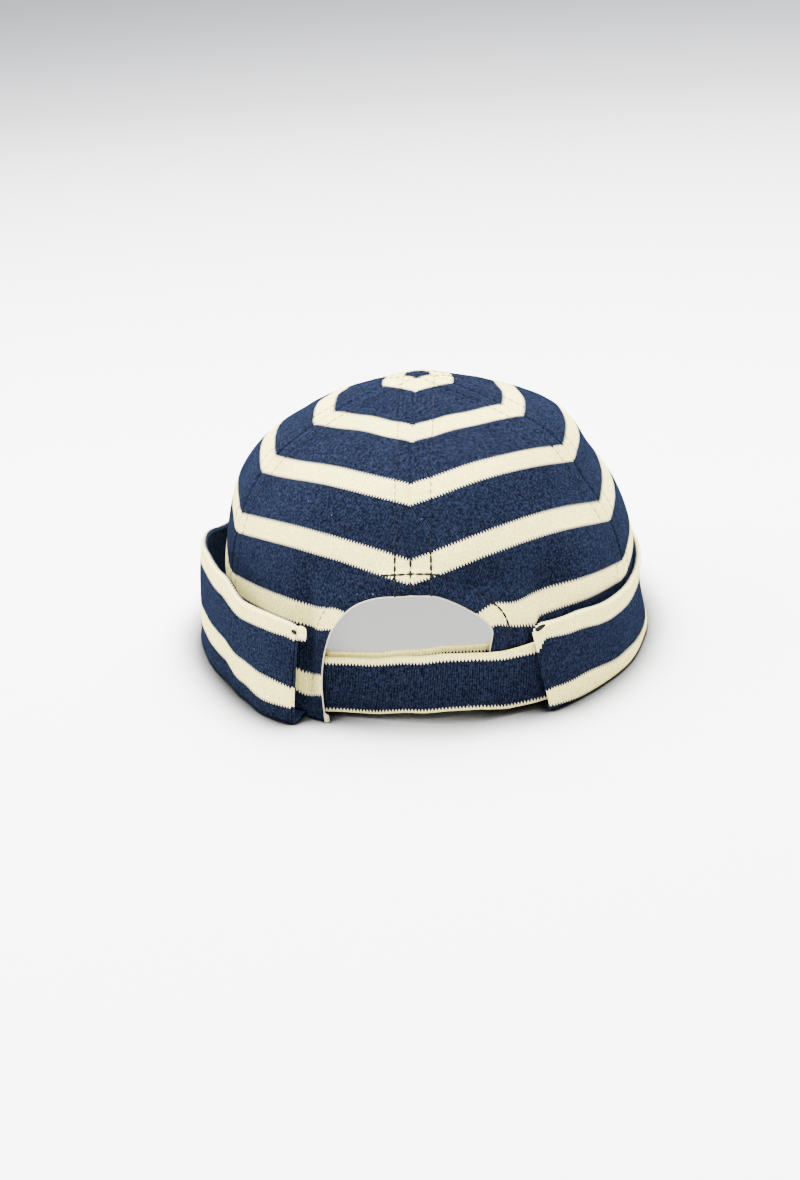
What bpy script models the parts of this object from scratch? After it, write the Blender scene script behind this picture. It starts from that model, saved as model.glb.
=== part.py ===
"""A docker cap in striped cotton knit: six sewn crown panels, a turned-up cuff, a bound arch and two back straps.

Metres, +Z up. The back of the cap, with its arch and straps, faces -Y, and the cap rests on its own hem and cuff.
Angles run round the crown's axis from the centre back, positive towards +X (the wearer's right).
"""

import math
from collections import namedtuple

import bmesh
import bpy
from mathutils import Vector

# Crown: its height, and the reach of its outer face at the hem from the axis through the crossing of its seams
CROWN_HEIGHT = 0.1135
CROWN_LEFT = 0.0932
CROWN_RIGHT = 0.0875
CROWN_BACK = 0.0907
CROWN_FRONT = 0.0930
CLOTH = 0.0013  # one layer of heavy cotton knit
SEAM_GAP = 0.0003
CLEARANCE = 0.0003  # between two pieces that lie on each other
TIP_RADIUS = 0.0012  # where the panels' tips end round the crossing of the seams

# Share by which the round of the crown is drawn flat between its back and its sides, and its front and its sides
BACK_FLAT = 0.038
FRONT_FLAT = 0.012

# Seams of the crown, in degrees from the centre back: the pairs beside the back panels and beside the front ones
BACK_SEAM_LEFT = 68.0
BACK_SEAM_RIGHT = 71.0
FRONT_SEAM = 124.0

# Arch over the back opening: its height, and its half widths along the cloth from the centre back seam
ARCH_HEIGHT = 0.0545
ARCH_LEFT = 0.0398
ARCH_RIGHT = 0.0322
HEM_RISE = 0.0006  # by which the binding is thicker than one layer, at each of its faces
BINDING_WIDTH = 0.0008
BINDING_GAP = 0.0005
TAB_WIDTH = 0.0026  # folded end of the binding at the arch's left foot
TAB_LENGTH = 0.0045

# Cuff: a doubled band turned up all round, from one side of the back opening to the other
CUFF_HEIGHT = 0.0487  # where it stands highest, at the left
CUFF_THICKNESS = 0.0024
CUFF_ROLL = 0.0015  # half thickness of its rolled top edge
CUFF_FOOT_RADIUS = 0.0020
CUFF_FOLD = 0.0016  # cloth under the crown's hem, where the cuff is sewn on
HEM_HEIGHT = CUFF_FOLD + CLEARANCE
HEM_STEP = 0.0030  # over which the crown's hem climbs from the ground onto the fold
CUFF_STAND_OFF = 0.0042  # gap between cuff and crown; the table below gives it in shares of this
LEFT_STRIP = 0.0084  # crown left bare between the arch and each end of the cuff, at the foot
RIGHT_STRIP = 0.0206
END_SLANT_LEFT = 0.0028  # how much nearer to the arch each end is at its top
END_SLANT_RIGHT = 0.0060

# Straps across the opening: the outer one comes from inside on the left and lies over the crown on the right
STRAP_WIDTH = 0.0260  # at its widest, by the cuff's right end; the table below gives it in shares of this
STRAP_THICKNESS = 0.0018
STRAP_FOOT = 0.0050  # height of its lower edge where it is drawn up most, likewise
INNER_STRAP_LIFT = 0.0013  # the inner strap stands this much higher
INNER_LEVEL_FROM = 16.0  # degrees; from here to its right end the inner strap runs level
OUTER_TUCK_LEFT = 0.0240  # lengths past the arch's edges
OUTER_TUCK_RIGHT = 0.0360
INNER_TUCK = 0.0190
STRAP_DRAW_IN = 0.0072  # how far the taut straps lie inside the crown's round
EDGE_ROUND = 0.0005

# Rows at even steps along the cloth from the top to the hem, as shares of the height and of the four reaches
Section = namedtuple("Section", "up left right back front")
CROWN_SECTIONS = [
    Section(1.000, 0.000, 0.000, 0.000, 0.000),
    Section(0.953, 0.235, 0.251, 0.208, 0.168),
    Section(0.883, 0.470, 0.498, 0.409, 0.370),
    Section(0.789, 0.671, 0.696, 0.599, 0.592),
    Section(0.667, 0.808, 0.795, 0.756, 0.759),
    Section(0.518, 0.885, 0.919, 0.882, 0.874),
    Section(0.348, 0.930, 0.982, 0.966, 0.942),
    Section(0.168, 0.962, 0.974, 0.994, 0.977),
    Section(0.000, 1.000, 1.000, 1.000, 1.000),
]

# Points of the arch's edge from foot to top, as shares of its half width and height
ArchPoint = namedtuple("ArchPoint", "across up")
ARCH_LEFT_EDGE = [
    ArchPoint(0.98, 0.00),
    ArchPoint(1.00, 0.22),
    ArchPoint(0.985, 0.40),
    ArchPoint(0.93, 0.58),
    ArchPoint(0.83, 0.75),
    ArchPoint(0.635, 0.90),
    ArchPoint(0.36, 0.98),
    ArchPoint(0.00, 1.00),
]
ARCH_RIGHT_EDGE = [
    ArchPoint(0.96, 0.09),  # this foot ends above the ground, behind the strap
    ArchPoint(0.95, 0.28),
    ArchPoint(0.96, 0.54),
    ArchPoint(1.00, 0.70),
    ArchPoint(0.88, 0.80),
    ArchPoint(0.62, 0.91),
    ArchPoint(0.32, 0.985),
    ArchPoint(0.00, 1.00),
]

# Soft dents of the crown: place (degrees, share of the height), spread in both, and depth in metres
Dent = namedtuple("Dent", "angle up angle_spread up_spread depth")
DENTS = [
    Dent(17.0, 0.50, 7.0, 0.055, 0.0030),  # beside the arch's right shoulder
    Dent(39.0, 0.42, 8.5, 0.090, 0.0055),  # where the crown falls back behind the cuff's right end
    Dent(20.0, 0.10, 12.0, 0.180, 0.0048),  # the arch's right foot, drawn in under the strap
    Dent(-30.5, 0.24, 3.5, 0.240, 0.0028),  # valley beside the cuff's left end
    Dent(-21.0, 0.53, 6.0, 0.040, 0.0012),  # crease over the arch's left shoulder
]

# The straps along the opening, in degrees from the centre back: height of the lower edge and width, as shares of
# STRAP_FOOT and STRAP_WIDTH. They sag at the left, are drawn up right of the middle and widen towards the right.
StrapPlace = namedtuple("StrapPlace", "angle foot width")
STRAP_LINE = [
    StrapPlace(-25.0, 0.44, 0.91),
    StrapPlace(-14.0, 0.40, 0.93),
    StrapPlace(-1.0, 0.80, 0.94),
    StrapPlace(9.0, 1.02, 0.955),
    StrapPlace(16.0, 0.98, 0.965),
    StrapPlace(24.0, 0.60, 0.985),
    StrapPlace(32.0, 0.58, 1.00),
]

# The cuff round the cap: its height as a share of CUFF_HEIGHT, and its gap to the crown at its foot and at its top
# edge as shares of CUFF_STAND_OFF. It was turned up by hand: high and flaring at the left, low and snug at the right.
CuffPlace = namedtuple("CuffPlace", "angle height foot top")
CUFF_ROUND = [
    CuffPlace(20.0, 0.84, 0.80, 0.75),
    CuffPlace(45.0, 0.76, 0.90, 0.75),
    CuffPlace(60.0, 0.70, 0.90, 0.75),
    CuffPlace(80.0, 0.635, 0.35, 0.03),
    CuffPlace(100.0, 0.67, 0.15, 0.03),
    CuffPlace(140.0, 0.70, 0.12, 0.20),
    CuffPlace(180.0, 0.81, 0.20, 0.30),
    CuffPlace(225.0, 0.83, 0.50, 0.80),
    CuffPlace(252.0, 0.79, 1.00, 1.55),
    CuffPlace(272.0, 0.945, 1.35, 1.75),
    CuffPlace(288.0, 0.99, 1.00, 1.55),
    CuffPlace(301.0, 1.00, 0.93, 1.80),
    CuffPlace(311.0, 0.89, 1.38, 1.72),
    CuffPlace(321.0, 0.89, 1.95, 1.63),
    CuffPlace(332.0, 0.865, 1.70, 1.36),
]

ARCH_COLUMNS = 16
STRIP_COLUMNS = 2
HEM_COLUMNS = 9
BACK_ROWS = 20
PANEL_COLUMNS = 8
PANEL_ROWS = 12
CUFF_COLUMNS = 66
STRAP_COLUMNS = 26
BINDING_STEPS = 3  # to each column of the panels along the arch

NAVY = (0.014, 0.026, 0.080, 1.0)
CREAM = (0.840, 0.760, 0.600, 1.0)


def curve_value(values, share, mirrored=False):
    """Value at a share of a row of evenly spaced values, on a smooth curve through them."""
    last = len(values) - 1
    place = min(max(share, 0.0), 1.0) * last
    i = min(int(place), last - 1)
    f = place - i
    a, b = values[i], values[i + 1]
    before = values[i - 1] if i else (b if mirrored else 2 * a - b)
    after = values[i + 2] if i + 2 <= last else 2 * b - a
    bend = 2 * before - 5 * a + 4 * b - after
    twist = 3 * a - before - 3 * b + after
    return a + 0.5 * f * (b - before + f * (bend + f * twist))


def ease(value):
    value = min(max(value, 0.0), 1.0)
    return value * value * (3 - 2 * value)


def column(name):
    return [getattr(section, name) for section in CROWN_SECTIONS]


UP, LEFT, RIGHT, BACK, FRONT = (column(name) for name in Section._fields)


def crown_height(share):
    return CROWN_HEIGHT * curve_value(UP, share, mirrored=True)


def crown_reach(angle, share):
    """Distance from the crown's axis to its outer face, at an angle and a share of the way down the cloth."""
    across, along = math.sin(angle), math.cos(angle)
    if across < 0:
        side = CROWN_LEFT * curve_value(LEFT, share)
    else:
        side = CROWN_RIGHT * curve_value(RIGHT, share)
    if along > 0:
        end, flat = CROWN_BACK * curve_value(BACK, share), BACK_FLAT
    else:
        end, flat = CROWN_FRONT * curve_value(FRONT, share), FRONT_FLAT
    return (1 - flat * math.sin(2 * angle) ** 2) / math.hypot(across / side, along / end)


def share_at(height):
    """Share of the way down the cloth at which the crown has this height."""
    low, high = 0.0, 1.0
    for _ in range(40):
        middle = (low + high) / 2
        low, high = (middle, high) if crown_height(middle) > height else (low, middle)
    return (low + high) / 2


def around(angle, reach, height):
    return Vector((reach * math.sin(angle), -reach * math.cos(angle), height))


def crown_base(angle, share):
    return around(angle, crown_reach(angle, share), crown_height(share))


def crown_normal(angle, share):
    turn, step = 1e-3, 1e-3
    low = max(share - step, 1e-3)
    down = crown_base(angle, min(share + step, 1.0)) - crown_base(angle, low)
    round_it = crown_base(angle + turn, share) - crown_base(angle - turn, share)
    return round_it.cross(-down).normalized()


def arch_edge(side, share):
    """Angle and height of the arch's edge, from its foot (0) to its top (1), on side -1 (left) or 1 (right)."""
    points, half = (ARCH_LEFT_EDGE, ARCH_LEFT) if side < 0 else (ARCH_RIGHT_EDGE, ARCH_RIGHT)
    across = half * curve_value([point.across for point in points], share)
    up = ARCH_HEIGHT * curve_value([point.up for point in points], share)
    return side * across / CROWN_BACK, max(up, 0.0)


def dent_depth(angle, height):
    depth = 0.0
    for dent in DENTS:
        sideways = (math.degrees(angle) - dent.angle) / dent.angle_spread
        upwards = (height / CROWN_HEIGHT - dent.up) / dent.up_spread
        depth += dent.depth * math.exp(-sideways * sideways - upwards * upwards)
    return depth


def wall_point(angle, share, depth):
    """Point of the crown's cloth, depth below its outer face."""
    inward = dent_depth(angle, crown_height(share)) + depth
    return crown_base(angle, share) - crown_normal(angle, share) * inward


def cuff_end(side, height):
    """Angle of the cuff's end at a height: it starts past the strip of crown beside the arch."""
    if side < 0:
        foot, slant, share = ARCH_LEFT + LEFT_STRIP, END_SLANT_LEFT, CUFF_ROUND[-1].height
    else:
        foot, slant, share = ARCH_RIGHT + RIGHT_STRIP, END_SLANT_RIGHT, CUFF_ROUND[0].height
    return side * (foot - slant * min(height / (share * CUFF_HEIGHT), 1.0)) / CROWN_BACK


def hem_feet(side, foot, seam):
    """Angles and heights of the hem: level with the arch's foot beside it, then on the cuff's fold."""
    foot_height = arch_edge(side, 0.0)[1]
    end = cuff_end(side, 0.0)
    step = side * HEM_STEP / CROWN_BACK
    low, high = end - 1.5 * step, end - 0.5 * step
    feet = [(foot + (low - foot) * i / STRIP_COLUMNS, foot_height) for i in range(1, STRIP_COLUMNS + 1)]
    feet += [(high + (seam - high) * i / HEM_COLUMNS, HEM_HEIGHT) for i in range(HEM_COLUMNS + 1)]
    return feet


def thick_sheet(name, outer, inner, colour):
    """Closed body between two grids of points of the same size."""
    columns, rows = len(outer), len(outer[0])
    mesh_points = [point for grid in (outer, inner) for line in grid for point in line]

    def index(layer, i, j):
        return (layer * columns + i) * rows + j

    faces = []
    for i in range(columns - 1):
        for j in range(rows - 1):
            quad = [(i, j), (i + 1, j), (i + 1, j + 1), (i, j + 1)]
            faces.append([index(0, *corner) for corner in quad])
            faces.append([index(1, *corner) for corner in reversed(quad)])
    rim = [(i, 0) for i in range(columns)] + [(columns - 1, j) for j in range(1, rows)]
    rim += [(i, rows - 1) for i in range(columns - 2, -1, -1)] + [(0, j) for j in range(rows - 2, 0, -1)]
    for here, there in zip(rim, rim[1:] + rim[:1]):
        faces.append([index(0, *there), index(0, *here), index(1, *here), index(1, *there)])
    return make_piece(name, mesh_points, faces, colour)


def closed_tube(name, rings, colour):
    """Closed body through rings of the same number of points, with flat ends."""
    sides = len(rings[0])
    mesh_points = [point for ring in rings for point in ring]
    faces = [list(reversed(range(sides))), [(len(rings) - 1) * sides + k for k in range(sides)]]
    for i in range(len(rings) - 1):
        for k in range(sides):
            here, there = i * sides + k, i * sides + (k + 1) % sides
            faces.append([here, there, there + sides, here + sides])
    return make_piece(name, mesh_points, faces, colour)


def make_piece(name, points, faces, colour):
    mesh = bpy.data.meshes.new(name)
    mesh.from_pydata([tuple(point) for point in points], [], faces)
    work = bmesh.new()
    work.from_mesh(mesh)
    bmesh.ops.recalc_face_normals(work, faces=work.faces)
    work.to_mesh(mesh)
    work.free()
    mesh.shade_smooth()
    piece = bpy.data.objects.new(name, mesh)
    bpy.context.scene.collection.objects.link(piece)
    material = bpy.data.materials.new(name + "_cotton")
    material.use_nodes = True
    shader = material.node_tree.nodes["Principled BSDF"]
    shader.inputs["Base Color"].default_value = colour
    shader.inputs["Roughness"].default_value = 0.9
    shader.inputs["Metallic"].default_value = 0.0
    mesh.materials.append(material)
    return piece


def panel_grids(ends, feet, rows):
    """Outer and inner grids of a panel whose columns run from the crown's top to the points in feet."""
    start = TIP_RADIUS / crown_reach(0.0, 0.05) * 0.05
    last = len(feet) - 1
    grids = ([], [])
    for i, (foot_angle, foot_height) in enumerate(feet):
        top_angle = ends[0] + (ends[1] - ends[0]) * i / last
        foot_share = share_at(foot_height)
        lines = ([], [])
        for j in range(rows + 1):
            way = j / rows
            share = start + (foot_share - start) * way
            angle = top_angle + (foot_angle - top_angle) * way**2.5
            half_gap = 0.5 * SEAM_GAP / crown_reach(angle, share)
            angle += math.copysign(half_gap, ends[1] - ends[0]) * (1 - 2 * i / last)
            lines[0].append(wall_point(angle, share, 0.0))
            lines[1].append(wall_point(angle, share, CLOTH))
        grids[0].append(lines[0])
        grids[1].append(lines[1])
    return grids


def back_panel(name, side, seam):
    """Panel beside the centre back seam, whose lower edge follows the arch and then the hem."""
    feet = [arch_edge(side, 1 - i / ARCH_COLUMNS) for i in range(ARCH_COLUMNS + 1)]
    feet += hem_feet(side, feet[-1][0], side * seam)
    outer, inner = panel_grids((0.0, side * seam), feet, BACK_ROWS)
    return thick_sheet(name, outer, inner, NAVY)


def plain_panel(name, first, second):
    angles = [first + (second - first) * i / PANEL_COLUMNS for i in range(PANEL_COLUMNS + 1)]
    feet = [(angle, HEM_HEIGHT) for angle in angles]
    outer, inner = panel_grids((first, second), feet, PANEL_ROWS)
    return thick_sheet(name, outer, inner, NAVY)


def crown():
    left, right, front = (math.radians(seam) for seam in (BACK_SEAM_LEFT, BACK_SEAM_RIGHT, FRONT_SEAM))
    back_panel("crown_panel_back_left", -1, left)
    back_panel("crown_panel_back_right", 1, right)
    plain_panel("crown_panel_side_left", -left, -front)
    plain_panel("crown_panel_side_right", right, front)
    plain_panel("crown_panel_front_left", -front, -math.pi)
    plain_panel("crown_panel_front_right", front, math.pi)


def wall_reach(angle, height):
    return crown_reach(angle, share_at(height))


def table_value(rows, name, place):
    """Value of one column at a place, eased between its rows."""
    for low, high in zip(rows, rows[1:]):
        if place <= high.angle:
            way = ease((place - low.angle) / (high.angle - low.angle))
            return getattr(low, name) * (1 - way) + getattr(high, name) * way
    return getattr(rows[-1], name)


def cuff_height(angle):
    return CUFF_HEIGHT * table_value(CUFF_ROUND, "height", math.degrees(angle) % 360)


def strap_room(angle):
    """Gap that the outer strap needs between the crown and the cuff, fading out past its end."""
    end = (ARCH_RIGHT + OUTER_TUCK_RIGHT) / CROWN_BACK
    room = HEM_RISE + STRAP_THICKNESS + 2 * CLEARANCE
    beyond = abs(angle - end / 2) - end / 2
    return room * (1 - ease((beyond - 0.003 / CROWN_BACK) * CROWN_BACK / 0.015))


def cuff_gap(angle, up):
    place = math.degrees(angle) % 360
    foot = table_value(CUFF_ROUND, "foot", place)
    top = table_value(CUFF_ROUND, "top", place)
    room = strap_room(angle) if angle < math.pi else 0.0
    return CLEARANCE + max(CUFF_STAND_OFF * (foot + (top - foot) * ease(up)), room)


def cuff_section(angle, ends):
    """Outer and inner rows of the cuff's section, from its fold under the crown up to its rolled top edge."""
    height = cuff_height(angle)
    crest = height - CUFF_ROLL
    rows_up = [CUFF_FOOT_RADIUS, 0.22 * crest, 0.5 * crest, 0.78 * crest, crest - CUFF_ROLL]
    hem = wall_reach(angle, 0.0)
    foot_gap = cuff_gap(angle, 0.0)

    def turned(row_height):
        """The end columns slant, so the angle depends on the height."""
        first, last = (cuff_end(1, row_height), cuff_end(-1, row_height) + 2 * math.pi)
        return first + (last - first) * (angle - ends[0]) / (ends[1] - ends[0])

    def inner_reach(row_height):
        return wall_reach(angle, row_height) + cuff_gap(angle, row_height / height)

    outer = [(hem - CLOTH, 0.0), (hem + foot_gap + CUFF_THICKNESS - CUFF_FOOT_RADIUS, 0.0)]
    rounding = CUFF_FOOT_RADIUS * (1 - math.sqrt(0.5))
    outer.append((hem + foot_gap + CUFF_THICKNESS - rounding, rounding))
    inner = [(hem - CLOTH, CUFF_FOLD), (hem, CUFF_FOLD), (hem + foot_gap * 0.8, CUFF_FOLD)]
    for row_height in rows_up:
        reach = inner_reach(row_height)
        outer.append((reach + CUFF_THICKNESS, row_height))
        inner.append((reach, max(row_height, CUFF_FOLD + 0.0006)))
    middle = inner_reach(crest) + CUFF_THICKNESS / 2
    for turn in (15.0, 50.0, 78.0):
        reach = CUFF_ROLL * math.cos(math.radians(turn))
        up = crest + CUFF_ROLL * math.sin(math.radians(turn))
        outer.append((middle + reach, up))
        inner.append((middle - reach, up))
    return [[around(turned(up), reach, up) for reach, up in line] for line in (outer, inner)]


def cuff():
    ends = (cuff_end(1, 0.0), cuff_end(-1, 0.0) + 2 * math.pi)
    outer, inner = [], []
    for i in range(CUFF_COLUMNS + 1):
        angle = ends[0] + (ends[1] - ends[0]) * i / CUFF_COLUMNS
        lines = cuff_section(angle, ends)
        outer.append(lines[0])
        inner.append(lines[1])
    return thick_sheet("cuff", outer, inner, NAVY)


def strap(name, first, last, offset, lift, level_from):
    """Strap whose middle lies offset(way across the opening) outside the crown's face, drawn taut across it."""
    left = -ARCH_LEFT / CROWN_BACK
    right = (0.92 * ARCH_RIGHT - BINDING_WIDTH - BINDING_GAP) / CROWN_BACK
    half = STRAP_THICKNESS / 2
    outer, inner = [], []
    for i in range(STRAP_COLUMNS + 1):
        angle = first + (last - first) * i / STRAP_COLUMNS
        way = min(max((angle - left) / (right - left), 0.0), 1.0)
        place = max(math.degrees(angle), STRAP_LINE[0].angle)
        width = STRAP_WIDTH * table_value(STRAP_LINE, "width", place)
        foot = STRAP_FOOT * table_value(STRAP_LINE, "foot", min(place, level_from)) + lift
        section = [(0.0, half - EDGE_ROUND), (EDGE_ROUND, half), (width / 2, half)]
        section += [(width - EDGE_ROUND, half), (width, half - EDGE_ROUND)]
        taut = STRAP_DRAW_IN * 4 * way * (1 - way)
        middle = [wall_reach(angle, foot + up) - dent_depth(angle, foot + up) for up, _ in section]
        middle = [reach + offset(way) - taut for reach in middle]
        outer.append([around(angle, at + out, foot + up) for at, (up, out) in zip(middle, section)])
        inner.append([around(angle, at - out, foot + up) for at, (up, out) in zip(middle, section)])
    return thick_sheet(name, outer, inner, CREAM)


def straps():
    half = STRAP_THICKNESS / 2
    inside = -(CLOTH + HEM_RISE + CLEARANCE + half)
    outside = HEM_RISE + CLEARANCE + half
    apart = STRAP_THICKNESS + 2 * CLEARANCE

    def outer_offset(way):
        return inside + (outside - inside) * ease(way)

    def inner_offset(way):
        return inside - apart * (1 - ease(1.6 * way))

    left, right = ARCH_LEFT / CROWN_BACK, ARCH_RIGHT / CROWN_BACK
    outer_ends = (-left - OUTER_TUCK_LEFT / CROWN_BACK, right + OUTER_TUCK_RIGHT / CROWN_BACK)
    inner_ends = (-left - INNER_TUCK / CROWN_BACK, right + INNER_TUCK / CROWN_BACK)
    strap("back_strap", *outer_ends, outer_offset, 0.0, STRAP_LINE[-1].angle)
    strap("inner_strap", *inner_ends, inner_offset, INNER_STRAP_LIFT, INNER_LEVEL_FROM)


def binding():
    """Narrow binding along the whole edge of the arch, with a folded tab at its left foot."""
    edge = [arch_edge(-1, i / ARCH_COLUMNS) for i in range(ARCH_COLUMNS + 1)]
    edge += [arch_edge(1, 1 - i / ARCH_COLUMNS) for i in range(1, ARCH_COLUMNS + 1)]
    corners = [Vector((angle * CROWN_BACK, height)) for angle, height in edge]
    places = []
    for here, there in zip(corners, corners[1:]):
        places += [here.lerp(there, step / BINDING_STEPS) for step in range(BINDING_STEPS)]
    places.append(corners[-1])
    rings = []
    for i, place in enumerate(places):
        along = (places[min(i + 1, len(places) - 1)] - places[max(i - 1, 0)]).normalized()
        into = Vector((along.y, -along.x))
        tab = 1 - ease((place.y - TAB_LENGTH * 0.7) / (TAB_LENGTH * 0.3)) if i < len(places) / 2 else 0.0
        width = BINDING_WIDTH + (TAB_WIDTH - BINDING_WIDTH) * tab
        ring = []
        for in_share, depth_share in ((0, 0.25), (0.5, 0), (1, 0.3), (1, 0.7), (0.5, 1), (0, 0.75)):
            spot = place + into * (BINDING_GAP + width * in_share)
            angle, share = spot.x / CROWN_BACK, share_at(max(spot.y, 0.0))
            depth = CLOTH * depth_share + HEM_RISE * (2 * depth_share - 1)
            point = wall_point(angle, share, depth)
            point.z = max(point.z, 0.0)
            ring.append(point)
        rings.append(ring)
    return closed_tube("arch_binding", rings, CREAM)


def centre_over_origin():
    """Puts the middle of the cap's outline over the origin, with its lowest point on the ground."""
    pieces = list(bpy.context.scene.collection.objects)
    points = [vertex.co for piece in pieces for vertex in piece.data.vertices]
    low = Vector([min(point[axis] for point in points) for axis in range(3)])
    high = Vector([max(point[axis] for point in points) for axis in range(3)])
    shift = Vector((-(low.x + high.x) / 2, -(low.y + high.y) / 2, -low.z))
    for piece in pieces:
        for vertex in piece.data.vertices:
            vertex.co += shift


def main():
    for item in list(bpy.data.objects):
        bpy.data.objects.remove(item, do_unlink=True)
    crown()
    cuff()
    straps()
    binding()
    centre_over_origin()


main()
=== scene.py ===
# %% [markdown]
# # A docker cap in striped cotton knit
# The cap stands empty on a white table, seen from behind. It is sewn from heavy jersey: six crown panels, a turned-up
# cuff, an arch cut into the back and two straps across it. The solids of the model come in first, because each of
# them gives way to a piece of cloth that is made here.

# %% The frame of the model
import math
from collections import namedtuple

import bpy
import numpy as np
from mathutils import Matrix, Vector


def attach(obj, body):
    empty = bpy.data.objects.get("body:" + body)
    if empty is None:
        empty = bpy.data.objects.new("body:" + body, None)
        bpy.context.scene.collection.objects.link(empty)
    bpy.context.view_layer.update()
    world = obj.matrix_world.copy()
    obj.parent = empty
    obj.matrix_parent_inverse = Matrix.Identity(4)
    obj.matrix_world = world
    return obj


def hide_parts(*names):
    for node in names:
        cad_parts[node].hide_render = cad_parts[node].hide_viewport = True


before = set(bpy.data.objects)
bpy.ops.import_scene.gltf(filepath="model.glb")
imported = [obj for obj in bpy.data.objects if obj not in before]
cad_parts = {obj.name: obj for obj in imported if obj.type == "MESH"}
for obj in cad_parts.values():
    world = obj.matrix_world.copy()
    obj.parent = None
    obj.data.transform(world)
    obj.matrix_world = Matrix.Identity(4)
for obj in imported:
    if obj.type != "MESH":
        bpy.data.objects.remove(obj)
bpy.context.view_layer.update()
# Foot of the crown's axis. It is off the origin, because the origin is the middle of the whole cap's outline.
AXIS = np.array([0.00508, -0.00565, 0.00011])
print("solids:", sorted(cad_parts))

# %% [markdown]
# ## The shape of the crown
# A sewn crown is a dome that is almost a turned shape, but this one is empty and a little crushed: flat at the back,
# fuller at its left. A cloth simulation could crush a round dome, but not in just this way. So a short table of
# sections says how far the crown reaches to the left, right, back and front at even steps along the cloth, and one
# smooth curve through each column gives every point between. The same sizes made the solids, so the cloth fits them.

# %% Sizes of the crown, in metres
CROWN_HEIGHT = 0.1135
CROWN_LEFT, CROWN_RIGHT = 0.0932, 0.0875
CROWN_BACK, CROWN_FRONT = 0.0907, 0.0930
BACK_FLAT, FRONT_FLAT = 0.038, 0.012  # share by which the crown is drawn in halfway between side and end
CLOTH = 0.0013  # one layer of jersey
CLOTH_LENGTH = 0.1673  # from the crown's top down to its hem, along the cloth
BACK_SEAM_LEFT, BACK_SEAM_RIGHT, FRONT_SEAM = (math.radians(seam) for seam in (68.0, 71.0, 124.0))

# Shares of those sizes at even steps along the cloth, from the top down to the hem
UP = [1.000, 0.953, 0.883, 0.789, 0.667, 0.518, 0.348, 0.168, 0.000]
LEFT = [0.000, 0.235, 0.470, 0.671, 0.808, 0.885, 0.930, 0.962, 1.000]
RIGHT = [0.000, 0.251, 0.498, 0.696, 0.795, 0.919, 0.982, 0.974, 1.000]
BACK = [0.000, 0.208, 0.409, 0.599, 0.756, 0.882, 0.966, 0.994, 1.000]
FRONT = [0.000, 0.168, 0.370, 0.592, 0.759, 0.874, 0.942, 0.977, 1.000]


def curve(values, share, mirrored=False):
    """Smooth curve through evenly spaced values, at shares from 0 to 1."""
    values = np.asarray(values, float)
    before = values[1] if mirrored else 2 * values[0] - values[1]
    padded = np.concatenate([[before], values, [2 * values[-1] - values[-2]]])
    place = np.clip(share, 0.0, 1.0) * (len(values) - 1)
    i = np.minimum(place.astype(int), len(values) - 2)
    f = place - i
    a, b, c, d = (padded[i + k] for k in range(4))
    return b + 0.5 * f * (c - a + f * (2 * a - 5 * b + 4 * c - d + f * (3 * (b - c) + d - a)))


def ease(value):
    """Smooth step from 0 to 1."""
    value = np.clip(value, 0.0, 1.0)
    return value * value * (3 - 2 * value)


print("seams of the back panels at -%.0f and %.0f degrees" % tuple(np.degrees([BACK_SEAM_LEFT, BACK_SEAM_RIGHT])))

# %% Points and normals of the crown
NUDGE = 2e-3  # small step of the angle and of the share, to find the slope of the dome


def crown_height(share):
    return CROWN_HEIGHT * curve(UP, share, mirrored=True)


def crown_reach(angle, share):
    """Distance from the axis; the angle runs from the centre back, positive towards +X."""
    across, along = np.sin(angle), np.cos(angle)
    side = np.where(across < 0, CROWN_LEFT * curve(LEFT, share), CROWN_RIGHT * curve(RIGHT, share))
    end = np.where(along > 0, CROWN_BACK * curve(BACK, share), CROWN_FRONT * curve(FRONT, share))
    flat = np.where(along > 0, BACK_FLAT, FRONT_FLAT)
    return (1 - flat * np.sin(2 * angle) ** 2) / np.hypot(across / side, along / end)


def around(angle, reach, height):
    return np.stack([reach * np.sin(angle), -reach * np.cos(angle), height + 0 * reach], -1)


def crown_base(angle, share):
    return around(angle, crown_reach(angle, share), crown_height(share))


def crown_normal(angle, share):
    """Outward direction, from two slopes that stay clear of the dome's point and foot."""
    low, high = np.clip(share - NUDGE, 0.001, 0.995), np.clip(share + NUDGE, 0.005, 1.0)
    down = crown_base(angle, high) - crown_base(angle, low)
    round_it = crown_base(angle + NUDGE, share) - crown_base(angle - NUDGE, share)
    normal = np.cross(round_it, -down)
    return normal / np.linalg.norm(normal, axis=-1, keepdims=True)


SHARES = np.linspace(0, 1, 400)
HEIGHTS = crown_height(SHARES)


def share_at(height):
    return np.interp(-np.asarray(height, float), -HEIGHTS, SHARES)


def wall_reach(angle, height):
    return crown_reach(angle, share_at(height))


print("crown: widest %.1f mm, height %.1f mm" % ((CROWN_LEFT + CROWN_RIGHT) * 1000, CROWN_HEIGHT * 1000))

# %% [markdown]
# ## The arch at the back
# The opening over the nape is cut as an arch. A Boolean could cut it out of a finished dome, but it would leave a
# ragged mesh that no seam or stitch can follow. So its edge is given as points from each foot to the top, as shares
# of its half width and height. The panels end on that outline, and the hem, the binding and the stitches follow it.

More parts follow.
